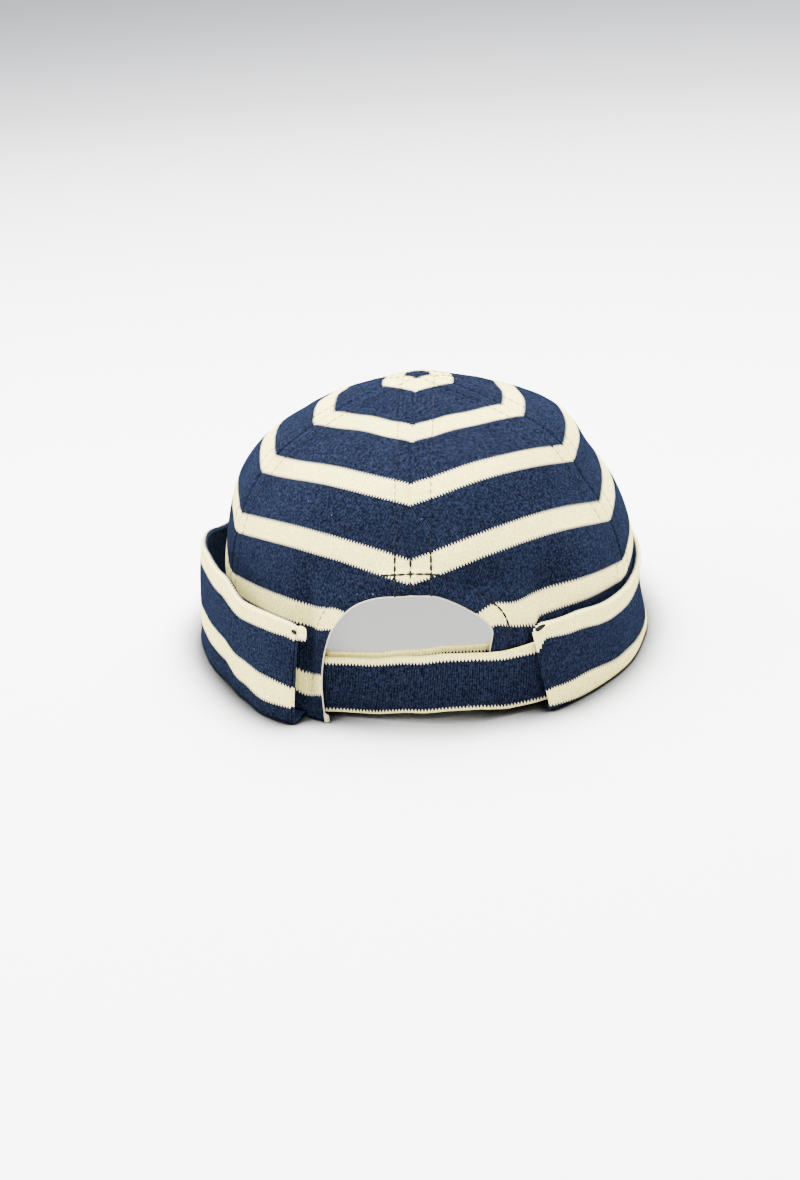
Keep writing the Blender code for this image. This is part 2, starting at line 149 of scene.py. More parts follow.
# %% Edge of the arch
ARCH_HEIGHT, ARCH_LEFT, ARCH_RIGHT = 0.0545, 0.0398, 0.0322  # half widths along the cloth
HEM_WIDTH = 0.0082  # cloth turned in along the edge
OUTLINE_STEP, COARSE_STEP = 0.0008, 0.0012
ARCH_LEFT_ACROSS = [0.98, 1.00, 0.985, 0.93, 0.83, 0.635, 0.36, 0.00]
ARCH_LEFT_UP = [0.00, 0.22, 0.40, 0.58, 0.75, 0.90, 0.98, 1.00]
ARCH_RIGHT_ACROSS = [0.96, 0.95, 0.96, 1.00, 0.88, 0.62, 0.32, 0.00]
ARCH_RIGHT_UP = [0.09, 0.28, 0.54, 0.70, 0.80, 0.91, 0.985, 1.00]


def arch_edge(side, share):
    """Angle and height of the arch's edge, from its foot (0) to its top (1)."""
    across, up, half = (
        (ARCH_LEFT_ACROSS, ARCH_LEFT_UP, ARCH_LEFT) if side < 0 else (ARCH_RIGHT_ACROSS, ARCH_RIGHT_UP, ARCH_RIGHT)
    )
    return side * half * curve(across, share) / CROWN_BACK, np.maximum(ARCH_HEIGHT * curve(up, share), 0.0)


def even_steps(points, step):
    """Points at even steps along a line of points."""
    lengths = np.concatenate([[0], np.cumsum(np.linalg.norm(np.diff(points, axis=0), axis=1))])
    count = max(int(round(lengths[-1] / step)), 1)
    places = np.linspace(0, lengths[-1], count + 1)
    return np.stack([np.interp(places, lengths, points[:, k]) for k in range(points.shape[1])], -1)


def flat_arch(side, step=OUTLINE_STEP):
    """Outline of one half of the arch on the flat cloth, from its top to its foot."""
    angle, height = arch_edge(side, np.linspace(1, 0, 160))
    return even_steps(np.stack([angle * CROWN_BACK, height], -1), step)


def arch_distance(angle, height):
    """Distance along the cloth from the arch's edge."""
    here = np.stack([angle * CROWN_BACK, height], -1)
    best = np.full(angle.shape, 1.0)
    for spot in np.concatenate([flat_arch(-1, COARSE_STEP), flat_arch(1, COARSE_STEP)]):
        best = np.minimum(best, np.linalg.norm(here - spot, axis=-1))
    return best


print("arch: %.0f mm of edge" % (1000 * OUTLINE_STEP * (len(flat_arch(-1)) + len(flat_arch(1)) - 2)))

# %% [markdown]
# ## Low relief of the cloth
# What makes cloth look sewn is low relief: the groove at each seam, the allowance that lifts the cloth beside it, the
# furrow that the topstitching presses in, the raised hem round the arch, and a few soft dents of a crown that stands
# empty. It could be sculpted by hand, but then it couldn't follow a seam that moves. So all of it is one function of
# the place on the crown, in metres along the surface's normal.

# %% Dents and the fold
# Angles in degrees from the centre back, up as a share of the crown's height; the stripes hang lower by the drop
Dent = namedtuple("Dent", "angle up angle_spread up_spread depth drop")
DENTS = [
    Dent(17.0, 0.50, 7.0, 0.055, 0.0030, 0.0),
    Dent(39.0, 0.42, 8.5, 0.090, 0.0055, 0.0),
    Dent(20.0, 0.10, 12.0, 0.180, 0.0048, 0.0),
    Dent(-30.5, 0.24, 3.2, 0.240, 0.0040, 0.0008),
    Dent(-31.5, 0.10, 4.5, 0.140, 0.0, 0.0036),
    Dent(-31.5, 0.00, 4.5, 0.070, -0.0030, 0.0),
    Dent(21.0, 0.36, 4.5, 0.120, 0.0, -0.0034),
    Dent(-20.0, 0.37, 5.0, 0.110, 0.0, -0.0027),
    Dent(-21.0, 0.53, 6.0, 0.040, 0.0012, 0.0),
]
# A fold over the strap's right end: its edge in degrees, at a height, leaning by so many degrees per metre
FOLD_ANGLE, FOLD_HEIGHT, FOLD_TURN = 33.0, 0.036, 600.0
FOLD_SWELL, FOLD_STEP = 4.5, 1.2  # degrees over which it swells, and over which it drops at its edge
FOLD_BELOW, FOLD_SPREAD = 0.003, 0.008  # its middle is below that height, and it fades over the spread
FOLD_OUT, FOLD_DROP = 0.0016, 0.0026  # how far the cloth stands out and hangs down before the edge


def bell(value, spread):
    return np.exp(-((value / spread) ** 2))


def fold_of(angle, height):
    """Share of the fold's fullness: it swells slowly towards the fold's edge and ends in a sharp step."""
    beyond = np.degrees(angle) - FOLD_ANGLE - FOLD_TURN * (height - FOLD_HEIGHT)
    swell = np.where(beyond < 0, np.exp(np.minimum(beyond, 0) / FOLD_SWELL), np.clip(1 - beyond / FOLD_STEP, 0, 1))
    return swell * bell(height - FOLD_HEIGHT + FOLD_BELOW, FOLD_SPREAD)


def dent_depth(angle, height, column="depth"):
    """Sum of the dents' depths (or drops) at a place."""
    total = 0.0 * angle
    for dent in DENTS:
        sideways = (np.degrees(angle) - dent.angle) / dent.angle_spread
        upwards = (height / CROWN_HEIGHT - dent.up) / dent.up_spread
        total = total + getattr(dent, column) * np.exp(-sideways * sideways - upwards * upwards)
    return total


print("dents: %d, the deepest %.1f mm" % (len(DENTS), 1000 * max(dent.depth for dent in DENTS)))

# %% Seams and hem
SEAM_STITCH, HEM_STITCH = 0.0059, 0.0070  # from the seam and from the arch's edge to the row of topstitching
ALLOWANCE_LIFT, SEAM_GROOVE, STITCH_FURROW = 0.00030, 0.00050, 0.00028
ALLOWANCE_PAST, ALLOWANCE_FADE = 0.0006, 0.0016  # how far the allowance reaches past the stitches, and fades
GROOVE_WIDTH = 0.0008
PUCKER_LIFT, PUCKER_REACH, PUCKER_WAVE, PUCKER_BEAT = 0.00010, 0.0030, 0.00105, 0.0047
SWELL_LIFT, SWELL_WAVE, SWELL_BEAT = 0.00050, 0.021, 0.034  # slow waves in the whole cloth
CALM_AT_SEAM, CALM_AT_TOP, SWELL_CALM_AT_TOP = 0.012, 0.010, 0.03  # distances over which the relief fades in
HEM_LIFT, HEM_FURROW, HEM_FURROW_WIDTH = 0.00090, 0.00055, 0.0007
HEM_INSET, HEM_SLOPE = 0.0007, 0.0010  # the hem's step starts this far before the turned-in cloth ends


def crown_relief(angle, share, seam_distance, phase):
    """How far the outer face stands out from the plain dome."""
    height, along = crown_height(share), share * CLOTH_LENGTH
    relief = FOLD_OUT * fold_of(angle, height) - dent_depth(angle, height)
    calm = ease(along / CALM_AT_TOP)
    allowance = 1 - ease((seam_distance - SEAM_STITCH - ALLOWANCE_PAST) / ALLOWANCE_FADE)
    relief += calm * (ALLOWANCE_LIFT * allowance - SEAM_GROOVE * bell(seam_distance, GROOVE_WIDTH))
    relief -= calm * STITCH_FURROW * bell(seam_distance - SEAM_STITCH, GROOVE_WIDTH)
    pucker = np.sin(along / PUCKER_WAVE + phase) * np.sin(along / PUCKER_BEAT + 2 * phase)
    relief += calm * PUCKER_LIFT * pucker * bell(seam_distance - PUCKER_REACH, PUCKER_REACH)
    swell = np.sin(7 * angle + along / SWELL_WAVE + phase) * np.sin(along / SWELL_BEAT - 3 * angle)
    relief += SWELL_LIFT * swell * ease(along / SWELL_CALM_AT_TOP) * ease(seam_distance / CALM_AT_SEAM)
    return relief


def hem_relief(distance):
    raised = 1 - ease((distance - HEM_WIDTH + HEM_INSET) / HEM_SLOPE)
    return HEM_LIFT * raised - HEM_FURROW * bell(distance - HEM_STITCH, HEM_FURROW_WIDTH)


print("rows of stitches %.1f mm from the seams, %.1f mm from the arch" % (1000 * SEAM_STITCH, 1000 * HEM_STITCH))

# %% [markdown]
# ## Cloth as a mesh
# Every piece of the cap is a closed skin with two faces. A plane with Solidify would do for an even cloth, but this
# one is thicker at its seams and hems, so both faces are worked out. The texture coordinates count stitches: U counts
# wales, the columns of the knit, and V counts courses, its rows. Stripes are knitted in, so they need nothing more
# than the course number: ten cream courses, then twenty navy ones.

# %% Stitches, and a piece with its counts
WALE = 0.00125  # width of a column: drawn coarser than the real 1.1 mm, because that is too fine to show
PITCH_COURSES, CREAM_COURSES = 30, 10  # courses from stripe to stripe, and in a cream stripe
CREAM_TRIM = 0.6  # courses that the cream loses at each edge, since it outshines the navy beside it
STRIPE_PITCH = 0.0277
COURSE = STRIPE_PITCH / PITCH_COURSES
FIRST_CREAM = 0.0046  # from the crown's top to its first cream stripe
FIRST_COURSE = 4 * PITCH_COURSES  # where the counts start, so that none is negative


def in_scene(name, data):
    """New object at the origin, with the given data."""
    thing = bpy.data.objects.new(name, data)
    bpy.context.scene.collection.objects.link(thing)
    return thing


def make_piece(name, points, faces, knit, node):
    """Mesh object at the origin, with stitch counts as its UV map, standing for a CAD node."""
    mesh = bpy.data.meshes.new(name)
    mesh.from_pydata((points + AXIS).tolist(), [], faces.tolist())
    layer = mesh.uv_layers.new(name="knit")
    corners = np.zeros(len(mesh.loops), np.int32)
    mesh.loops.foreach_get("vertex_index", corners)
    layer.data.foreach_set("uv", knit[corners].astype(np.float32).ravel())
    mesh.shade_smooth()
    piece = in_scene(name, mesh)
    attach(piece, "root")
    if node:
        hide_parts(node)
    return piece


print("a course is %.2f mm high" % (1000 * COURSE))


# %% Closed skins from grids and from rings of points
def sheet_faces(columns, rows):
    """Quads of a closed sheet: outer grid first, then the inner one, then the rim between them."""
    index = np.arange(columns * rows).reshape(columns, rows)
    a, b, c, d = index[:-1, :-1], index[1:, :-1], index[1:, 1:], index[:-1, 1:]
    outer = np.stack([a, b, c, d], -1).reshape(-1, 4)
    inner = outer[:, ::-1] + columns * rows
    rim = np.concatenate([index[:, 0], index[-1, 1:], index[-2::-1, -1], index[0, -2::-1]])
    here, there = rim[:-1], rim[1:]
    sides = np.stack([there, here, here + columns * rows, there + columns * rows], -1)
    return np.concatenate([outer, inner, sides])


def make_sheet(name, outer, inner, knit, node, flip=False):
    faces = sheet_faces(*outer.shape[:2])
    if flip:
        faces = faces[:, ::-1]
    points = np.concatenate([outer.reshape(-1, 3), inner.reshape(-1, 3)])
    knit = np.concatenate([knit.reshape(-1, 2)] * 2)
    return make_piece(name, points, faces, knit, node)


def make_tube(name, rings, knit, node, flip=False):
    """Skin over rings of points, with a cap across each end that is as flat as the ring."""
    rings = np.asarray(rings)
    columns, rows = rings.shape[:2]
    index = np.arange(columns * rows).reshape(columns, rows)
    wrapped = np.roll(index, -1, axis=1)
    sides = np.stack([index[:-1], index[1:], wrapped[1:], wrapped[:-1]], -1).reshape(-1, 4)
    near, far = np.arange(rows // 2 - 1), rows - 1 - np.arange(rows // 2 - 1)
    caps = np.stack([index[:, near], index[:, near + 1], index[:, far - 1], index[:, far]], -1)
    first, last = caps[0], caps[-1][:, ::-1]
    if flip:
        sides, first, last = sides[:, [0, 3, 2, 1]], first[:, ::-1], last[:, ::-1]
    faces = np.concatenate([sides, first, last])
    return make_piece(name, rings.reshape(-1, 3), faces, np.asarray(knit).reshape(-1, 2), node)


print("a sheet of 3 by 3 points has", len(sheet_faces(3, 3)), "quads")

# %% [markdown]
# ## Crown panels
# Stripes run straight across each flat panel, so on the dome they bend into hexagons with their corners on the seams.
# An image of stripes would have to be bent to match. Here the course at a point is its distance down the cloth,
# corrected by how far a straight line across a gore drifts: nothing at the panel's middle, most at its seams.

# %% Stitch counts on a panel
DRIFT = 0.0076  # how much lower a straight course crosses the seams than the panel's middle, far down the crown
DRIFT_FULL = 0.100  # distance down the cloth where the drift is full
MIDDLE_WALE = 200.5  # count at a panel's middle
# How far the cloth has slipped up (+) or down (-) as it was worn, in millimetres at even steps down the crown
SLIP_CENTRE = [0.0, 0.4, 1.1, 1.8, 0.9, -1.4, -0.6, 0.0, 0.0]
SLIP_SEAM_LEFT = [0.0, 0.7, 1.2, 2.3, 1.4, 0.0, 0.9, 0.9, 0.9]
SLIP_SEAM_RIGHT = [0.0, 0.4, 1.1, 1.2, -0.4, -1.8, -0.9, -0.5, -0.5]
SLIP_LEFT = [0.0, 0.3, 0.9, 0.7, -0.3, -1.2, -2.9, -1.4, -4.0]
SLIP_RIGHT = [0.0, 0.5, 1.2, 2.4, 0.5, -1.0, -3.4, -3.4, -2.6]


def at_back(first, last):
    """Whether the panel between two seams is one of the two that meet at the centre back."""
    return abs(first + last) < 2.0


def slip_of(place, share, first, last):
    """Slip of the cloth at a place between the seams of a panel."""
    seam = curve(SLIP_SEAM_LEFT if first + last < 0 else SLIP_SEAM_RIGHT, share)
    if not at_back(first, last):
        return seam / 1000
    outwards = (1 - place if first + last < 0 else 1 + place) / 2
    seam = curve(SLIP_CENTRE, share) * (1 - outwards) + seam * outwards
    middle = curve(SLIP_LEFT if first + last < 0 else SLIP_RIGHT, share)
    return (seam + (middle - seam) * (1 - place**2)) / 1000


def knit_of(angle, share, first, last):
    """Wale and course at a place of the panel between two seams, and the distance to the nearer seam."""
    middle, half = (first + last) / 2, abs(last - first) / 2
    place = (angle - middle) / half
    width = crown_reach(angle, share) * half
    drop = dent_depth(angle, crown_height(share), "drop") + FOLD_DROP * fold_of(angle, crown_height(share))
    along = share * CLOTH_LENGTH + slip_of(place, share, first, last) - drop
    down = along
    for _ in range(2):  # the drift depends on the course itself, and two rounds are close enough
        down = along - DRIFT * np.sin(np.clip(down / DRIFT_FULL, 0, 1) * math.pi / 2) * place**2
    wale = place * width / WALE + MIDDLE_WALE
    course = (down - FIRST_CREAM) / COURSE + FIRST_COURSE
    return np.stack([wale, course], -1), np.clip((1 - np.abs(place)) * width, 0, 1)


print("courses from the top to the hem: %.0f" % ((CLOTH_LENGTH - FIRST_CREAM) / COURSE))

# %% One panel between two seams
PANEL_TOP = 0.0035  # share where the panels start, because at 0 a whole row would be one point
ROW_SPREAD = 0.9  # power below 1: rows lie a little further apart near the top
SEAM_LAYER, SEAM_LAYER_WIDTH, SEAM_LAYER_FADE = 0.0010, 0.0062, 0.0012  # cloth turned in, inside the cap
HEM_LAYER, HEM_LAYER_FADE, HEM_LAYER_RISE = 0.0009, 0.001, 0.003  # the same along the arch
EDGE_THINNING, EDGE_WIDE = 0.0008, 0.0025  # how far the arch's very edge is thinned, and over what width


def panel(name, first, last, feet_angle, feet_share, rows, blend=1.0):
    """Panel whose columns run from the crown's top to the given feet."""
    way = np.linspace(0, 1, rows + 1)[None, :] ** ROW_SPREAD
    top_angle = np.linspace(first, last, len(feet_angle))[:, None]
    share = PANEL_TOP + (feet_share[:, None] - PANEL_TOP) * way
    angle = top_angle + (feet_angle[:, None] - top_angle) * way**blend
    height = crown_height(share)
    hem, hem_layer = 0.0, 0.0
    if at_back(first, last):
        side = 1 if last + first > 0 else -1
        limit_angle, limit_height = arch_edge(side, np.linspace(0, 1, 200))
        limit = np.interp(height, limit_height, np.abs(limit_angle), right=0.0)
        angle = side * np.maximum(np.abs(angle), np.where(height < ARCH_HEIGHT, limit, 0.0))
        distance = arch_distance(angle, height)
        hem = hem_relief(distance)
        hem_layer = HEM_LAYER * (1 - ease((distance - HEM_WIDTH) / HEM_LAYER_FADE))
        hem_layer = hem_layer * ease((distance - HEM_LAYER_FADE) / HEM_LAYER_RISE)
        hem_layer = hem_layer - EDGE_THINNING * (1 - ease(distance / EDGE_WIDE))
    knit, seam_distance = knit_of(angle, share, first, last)
    relief = crown_relief(angle, share, seam_distance, first + last) + hem
    layer = SEAM_LAYER * (1 - ease((seam_distance - SEAM_LAYER_WIDTH) / SEAM_LAYER_FADE))
    base, normal = crown_base(angle, share), crown_normal(angle, share)
    outer = base + normal * relief[..., None]
    inner = base + normal * (relief - CLOTH - layer - hem_layer)[..., None]
    return make_sheet(name + "_knit", outer, inner, knit, name, flip=last < first)


print("cloth at a seam: %.1f mm" % (1000 * (CLOTH + SEAM_LAYER)))

# %% Back panels, cut along the arch
CUFF_FOLD, CLEARANCE = 0.0016, 0.0003  # thickness of the cuff's fold under the hem, and air between two cloths
HEM_HEIGHT = CUFF_FOLD + CLEARANCE
LEFT_STRIP, RIGHT_STRIP = 0.0084, 0.0206  # from the arch's feet to the cuff's ends, along the cloth
BACK_STEP, PLAIN_STEP = 0.0011, 0.0013
ONTO_FOLD = 0.0012  # distance over which the hem climbs onto the cuff's fold
BACK_BLEND = 2.5  # keeps the columns upright above the arch, so that they spread only near their feet


def back_panel(name, side, seam):
    outline = even_steps(flat_arch(side), BACK_STEP)
    foot = outline[-1, 0] / CROWN_BACK
    end = side * ((ARCH_LEFT + LEFT_STRIP) if side < 0 else (ARCH_RIGHT + RIGHT_STRIP)) / CROWN_BACK
    hem = np.linspace(foot, side * seam, int(abs(side * seam - foot) * CROWN_BACK / BACK_STEP))[1:]
    strip_height = outline[-1, 1]
    onto_fold = ease((np.abs(hem) - abs(end)) * CROWN_BACK / ONTO_FOLD + 1)
    climb = strip_height + (HEM_HEIGHT - strip_height) * onto_fold
    angles = np.concatenate([outline[:, 0] / CROWN_BACK, hem])
    shares = share_at(np.concatenate([outline[:, 1], climb]))
    return panel(name, 0.0, side * seam, angles, shares, 138, BACK_BLEND)


back_left = back_panel("crown_panel_back_left", -1, BACK_SEAM_LEFT)
back_right = back_panel("crown_panel_back_right", 1, BACK_SEAM_RIGHT)
print("back panels:", len(back_left.data.polygons), "and", len(back_right.data.polygons), "quads")


# %% Side and front panels
def plain_panel(name, first, last):
    count = int(abs(last - first) * CROWN_FRONT / PLAIN_STEP)
    angles = np.linspace(first, last, count)
    return panel(name, first, last, angles, share_at(np.full(count, HEM_HEIGHT)), 120)


crown_panels = [
    back_left,
    back_right,
    plain_panel("crown_panel_side_left", -BACK_SEAM_LEFT, -FRONT_SEAM),
    plain_panel("crown_panel_side_right", BACK_SEAM_RIGHT, FRONT_SEAM),
    plain_panel("crown_panel_front_left", -FRONT_SEAM, -math.pi),
    plain_panel("crown_panel_front_right", FRONT_SEAM, math.pi),
]
print("crown: %d panels, %d quads" % (len(crown_panels), sum(len(p.data.polygons) for p in crown_panels)))

# %% [markdown]
# ## The cuff
# The cuff is a doubled band turned up round the crown. It could be a strip with Solidify, but then its fold and its
# rolled edge would be square. So its section is drawn as one closed line: out under the crown's hem, up the outer
# wall, over the soft rolled edge and down the inside. Sweeping that line round the cap, with the gap and the height
# taken from a small table, gives a band that stands off at the left and hugs the crown at the right. Near its ends
# the section thins to a rounded edge.

# %% Sizes of the cuff
CUFF_HEIGHT = 0.0487
CUFF_THICKNESS, CUFF_ROLL, CUFF_FOOT_RADIUS = 0.0024, 0.0015, 0.0020
CUFF_STAND_OFF = 0.0042
CUFF_BULGE = 0.0004
END_SLANT_LEFT, END_SLANT_RIGHT = 0.0028, 0.0060  # how far the ends lean towards the arch at their tops
STRAP_THICKNESS, HEM_RISE, OUTER_TUCK_RIGHT = 0.0018, 0.0006, 0.0360
ROOM_PAST, ROOM_FADE = 0.003, 0.015  # the room for the strap ends this far past it, and fades over this
# Height and stand-off at the foot and at the top, as shares of the sizes above; degrees from the centre back
CuffPlace = namedtuple("CuffPlace", "angle height foot top")
CUFF_ROUND = [
    CuffPlace(20.0, 0.84, 0.80, 0.75),
    CuffPlace(45.0, 0.76, 0.90, 0.75),
    CuffPlace(60.0, 0.70, 0.90, 0.75),
    CuffPlace(80.0, 0.635, 0.35, 0.03),
    CuffPlace(100.0, 0.67, 0.15, 0.03),
    CuffPlace(140.0, 0.70, 0.12, 0.20),
    CuffPlace(180.0, 0.81, 0.20, 0.30),
    CuffPlace(225.0, 0.83, 0.50, 0.80),
    CuffPlace(252.0, 0.79, 1.00, 1.55),
    CuffPlace(272.0, 0.945, 1.35, 1.75),
    CuffPlace(288.0, 0.99, 1.00, 1.55),
    CuffPlace(301.0, 1.00, 0.93, 1.80),
    CuffPlace(311.0, 0.89, 1.38, 1.72),
    CuffPlace(321.0, 0.89, 1.95, 1.63),
    CuffPlace(332.0, 0.865, 1.70, 1.36),
]


def eased_column(rows, name, place):
    """One column of a table at a place, eased between its rows."""
    angles = np.array([row.angle for row in rows])
    values = np.array([getattr(row, name) for row in rows])
    i = np.clip(np.searchsorted(angles, place) - 1, 0, len(rows) - 2)
    way = ease((place - angles[i]) / (angles[i + 1] - angles[i]))
    return values[i] * (1 - way) + values[i + 1] * way


def cuff_end(side, rise):
    """Angle of the cuff's end at a share of its height."""
    foot = ARCH_LEFT + LEFT_STRIP if side < 0 else ARCH_RIGHT + RIGHT_STRIP
    slant = END_SLANT_LEFT if side < 0 else END_SLANT_RIGHT
    return side * (foot - slant * np.clip(rise, 0, 1)) / CROWN_BACK


def cuff_height(angle):
    return CUFF_HEIGHT * eased_column(CUFF_ROUND, "height", np.degrees(angle) % 360)


def cuff_gap(angle, rise):
    """Air between crown and cuff at a share of the cuff's height, with room for the strap's end."""
    place = np.degrees(angle) % 360
    foot, top = eased_column(CUFF_ROUND, "foot", place), eased_column(CUFF_ROUND, "top", place)
    end = (ARCH_RIGHT + OUTER_TUCK_RIGHT) / CROWN_BACK
    beyond = (np.abs(angle - end / 2) - end / 2) * CROWN_BACK
    room = (HEM_RISE + STRAP_THICKNESS + 2 * CLEARANCE) * (1 - ease((beyond - ROOM_PAST) / ROOM_FADE))
    room = np.where(angle < math.pi, room, 0.0)
    return CLEARANCE + np.maximum(CUFF_STAND_OFF * (foot + (top - foot) * ease(rise)), room)


CUFF_START, CUFF_STOP = cuff_end(1, 0.0), cuff_end(-1, 0.0) + 2 * math.pi
print("cuff: %.0f mm round at its foot" % ((CUFF_STOP - CUFF_START) * CROWN_BACK * 1000))

# %% [markdown]
# The cuff's stripes are not parallel to its edge all the way round: it was turned up by hand. A second table gives
# the distance from the rolled edge to each change of colour, and the course count is stretched between them.

# %% Stripes of the cuff
CuffStripe = namedtuple("CuffStripe", "angle cream navy low_cream")  # metres from the crest to where each one ends
CUFF_STRIPES = [
    CuffStripe(20.0, 0.0080, 0.0285, 0.0372),
    CuffStripe(37.0, 0.0076, 0.0286, 0.0370),
    CuffStripe(46.0, 0.0087, 0.0277, 0.0378),
    CuffStripe(55.0, 0.0095, 0.0274, 0.0388),
    CuffStripe(65.0, 0.0096, 0.0272, 0.0385),
    CuffStripe(100.0, 0.0085, 0.0270, 0.0360),
    CuffStripe(180.0, 0.0085, 0.0275, 0.0365),
    CuffStripe(260.0, 0.0085, 0.0275, 0.0370),
    CuffStripe(292.0, 0.0087, 0.0275, 0.0385),
    CuffStripe(303.0, 0.0091, 0.0279, 0.0390),
    CuffStripe(311.0, 0.0078, 0.0250, 0.0365),
    CuffStripe(321.0, 0.0075, 0.0260, 0.0378),
    CuffStripe(332.0, 0.0062, 0.0264, 0.0357),
]
CREAM_INSIDE = 0.0006  # cream that rolls over onto the cuff's inner side
NAVY_INSIDE = 0.0120  # from there down the inner side is navy throughout
LAPPET_WIDTH = 0.0050  # at each end the cream edge is drawn down over the fold
LAPPET_DROP_LEFT, LAPPET_DROP_RIGHT = 0.0005, 0.0030


def from_cuff_end(angle):
    """Distance from the nearer end of the cuff, along the foot of the crown."""
    return np.minimum(angle - CUFF_START, CUFF_STOP - angle) * CROWN_BACK


def cuff_course(angle, from_crest):
    """Course number at a distance from the cuff's crest, down its outer side; negative is inside."""
    place = np.degrees(angle) % 360
    cream, navy, low = (eased_column(CUFF_STRIPES, name, place) for name in CuffStripe._fields[1:])
    drop = np.where(angle > math.pi, LAPPET_DROP_LEFT, LAPPET_DROP_RIGHT)
    cream = cream + drop * (1 - ease(from_cuff_end(angle) / LAPPET_WIDTH))
    from_crest = np.maximum(from_crest, -NAVY_INSIDE)
    course = (from_crest + CREAM_INSIDE) / (cream + CREAM_INSIDE) * CREAM_COURSES
    stretch = (PITCH_COURSES - CREAM_COURSES) * (from_crest - cream) / (navy - cream)
    course = np.where(from_crest > cream, CREAM_COURSES + stretch, course)
    stretch = CREAM_COURSES * (from_crest - navy) / (low - navy)
    course = np.where(from_crest > navy, PITCH_COURSES + stretch, course)
    course = np.where(from_crest > low, PITCH_COURSES + CREAM_COURSES + (from_crest - low) / COURSE, course)
    return course + FIRST_COURSE


print("upper cream of the cuff: %.1f to %.1f mm" % tuple(1000 * f(s.cream for s in CUFF_STRIPES) for f in (min, max)))

# %% The cuff's section, swept round the cap
END_ROUND = 0.0018  # rounding of the folded ends, seen from above
END_DROP_LEFT, END_DROP_RIGHT, END_DROP_WIDTH = 0.0010, 0.0036, 0.0050  # and of their upper corners
CUFF_STEP = 0.00115
WALL_MARGIN = 0.0006  # the straight walls stop this far from the bends


def cuff_section(angle):
    """Closed line of reach and height for one column, and each point's distance from the crest."""
    height = cuff_height(angle)
    crest = height - CUFF_ROLL
    hem = wall_reach(angle, np.zeros(1))[0]
    foot_gap = cuff_gap(angle, 0.0)
    walls = np.linspace(CUFF_FOOT_RADIUS, crest - WALL_MARGIN, 36)
    reach = wall_reach(angle, walls) + cuff_gap(angle, walls / height)
    bulge = CUFF_BULGE * (1 - math.sin(angle)) * np.sin(np.pi * np.clip(walls / crest, 0, 1))
    turns = np.radians(np.linspace(0, 90, 6))
    foot_centre = hem + foot_gap + CUFF_THICKNESS - CUFF_FOOT_RADIUS
    foot = np.stack([foot_centre + CUFF_FOOT_RADIUS * np.sin(turns), CUFF_FOOT_RADIUS * (1 - np.cos(turns))], -1)
    turns = np.radians(np.linspace(0, 180, 15))
    middle = reach[-1] + CUFF_THICKNESS / 2
    roll = np.stack([middle + CUFF_ROLL * np.cos(turns), crest + CUFF_ROLL * np.sin(turns)], -1)
    bottom = [[hem - CLOTH, 0.0]]
    outer = np.stack([reach + CUFF_THICKNESS + bulge, walls], -1)[1:]
    inner_walls = walls[walls > CUFF_FOLD + WALL_MARGIN][::-1]
    inner_reach = wall_reach(angle, inner_walls) + cuff_gap(angle, inner_walls / height)
    inner = np.stack([inner_reach, inner_walls], -1)
    fold = [[hem + foot_gap * 0.8, CUFF_FOLD], [hem, CUFF_FOLD], [hem - CLOTH, CUFF_FOLD]]
    line = np.concatenate([bottom, foot, outer, roll, inner, fold])
    lengths = np.concatenate([[0], np.cumsum(np.linalg.norm(np.diff(line, axis=0), axis=1))])
    crest_index = len(bottom) + len(foot) + len(outer) + len(roll) // 2
    from_crest = lengths[crest_index] - lengths
    from_crest[0] = from_crest[-1]  # the line starts inside, under the hem, where the cuff is navy
    return line, from_crest


def close_end(line, angle):
    """The section drawn together towards the cuff's folded end."""
    from_end = float(from_cuff_end(angle))
    fullness = math.sqrt(max(1 - max(1 - from_end / END_ROUND, 0.0) ** 2, 1e-6))
    height = cuff_height(angle)
    level = np.clip(line[:, 1], CUFF_FOOT_RADIUS, height - CUFF_ROLL)
    middle = wall_reach(angle, level) + cuff_gap(angle, level / height) + CUFF_THICKNESS / 2
    drop = END_DROP_LEFT if angle > math.pi else END_DROP_RIGHT
    lowered = 1 - drop / height * max(1 - from_end / END_DROP_WIDTH, 0.0) ** 2
    return np.stack([middle + fullness * (line[:, 0] - middle), line[:, 1] * lowered], -1)


def make_cuff():
    start, stop = CUFF_START, CUFF_STOP
    bend = END_ROUND * (1 - np.cos(np.radians(np.linspace(0, 90, 8)))) / CROWN_BACK
    body = np.linspace(start + bend[-1], stop - bend[-1], int((stop - start) * CROWN_BACK / CUFF_STEP))
    rings, knits = [], []
    for angle in np.concatenate([start + bend[:-1], body, stop - bend[-2::-1]]):
        line, from_crest = cuff_section(angle)
        line = close_end(line, angle)
        rise = np.clip(line[:, 1] / cuff_height(angle), 0, 1)
        first, last = cuff_end(1, rise), cuff_end(-1, rise) + 2 * math.pi
        turned = first + (last - first) * (angle - start) / (stop - start)
        rings.append(around(turned, line[:, 0], line[:, 1]))
        wale = angle * CROWN_BACK / WALE + 0 * from_crest
        knits.append(np.stack([wale, cuff_course(angle + 0 * from_crest, from_crest)], -1))
    return make_tube("cuff_knit", rings, knits, "cuff")


cuff = make_cuff()
print("cuff:", len(cuff.data.polygons), "quads")
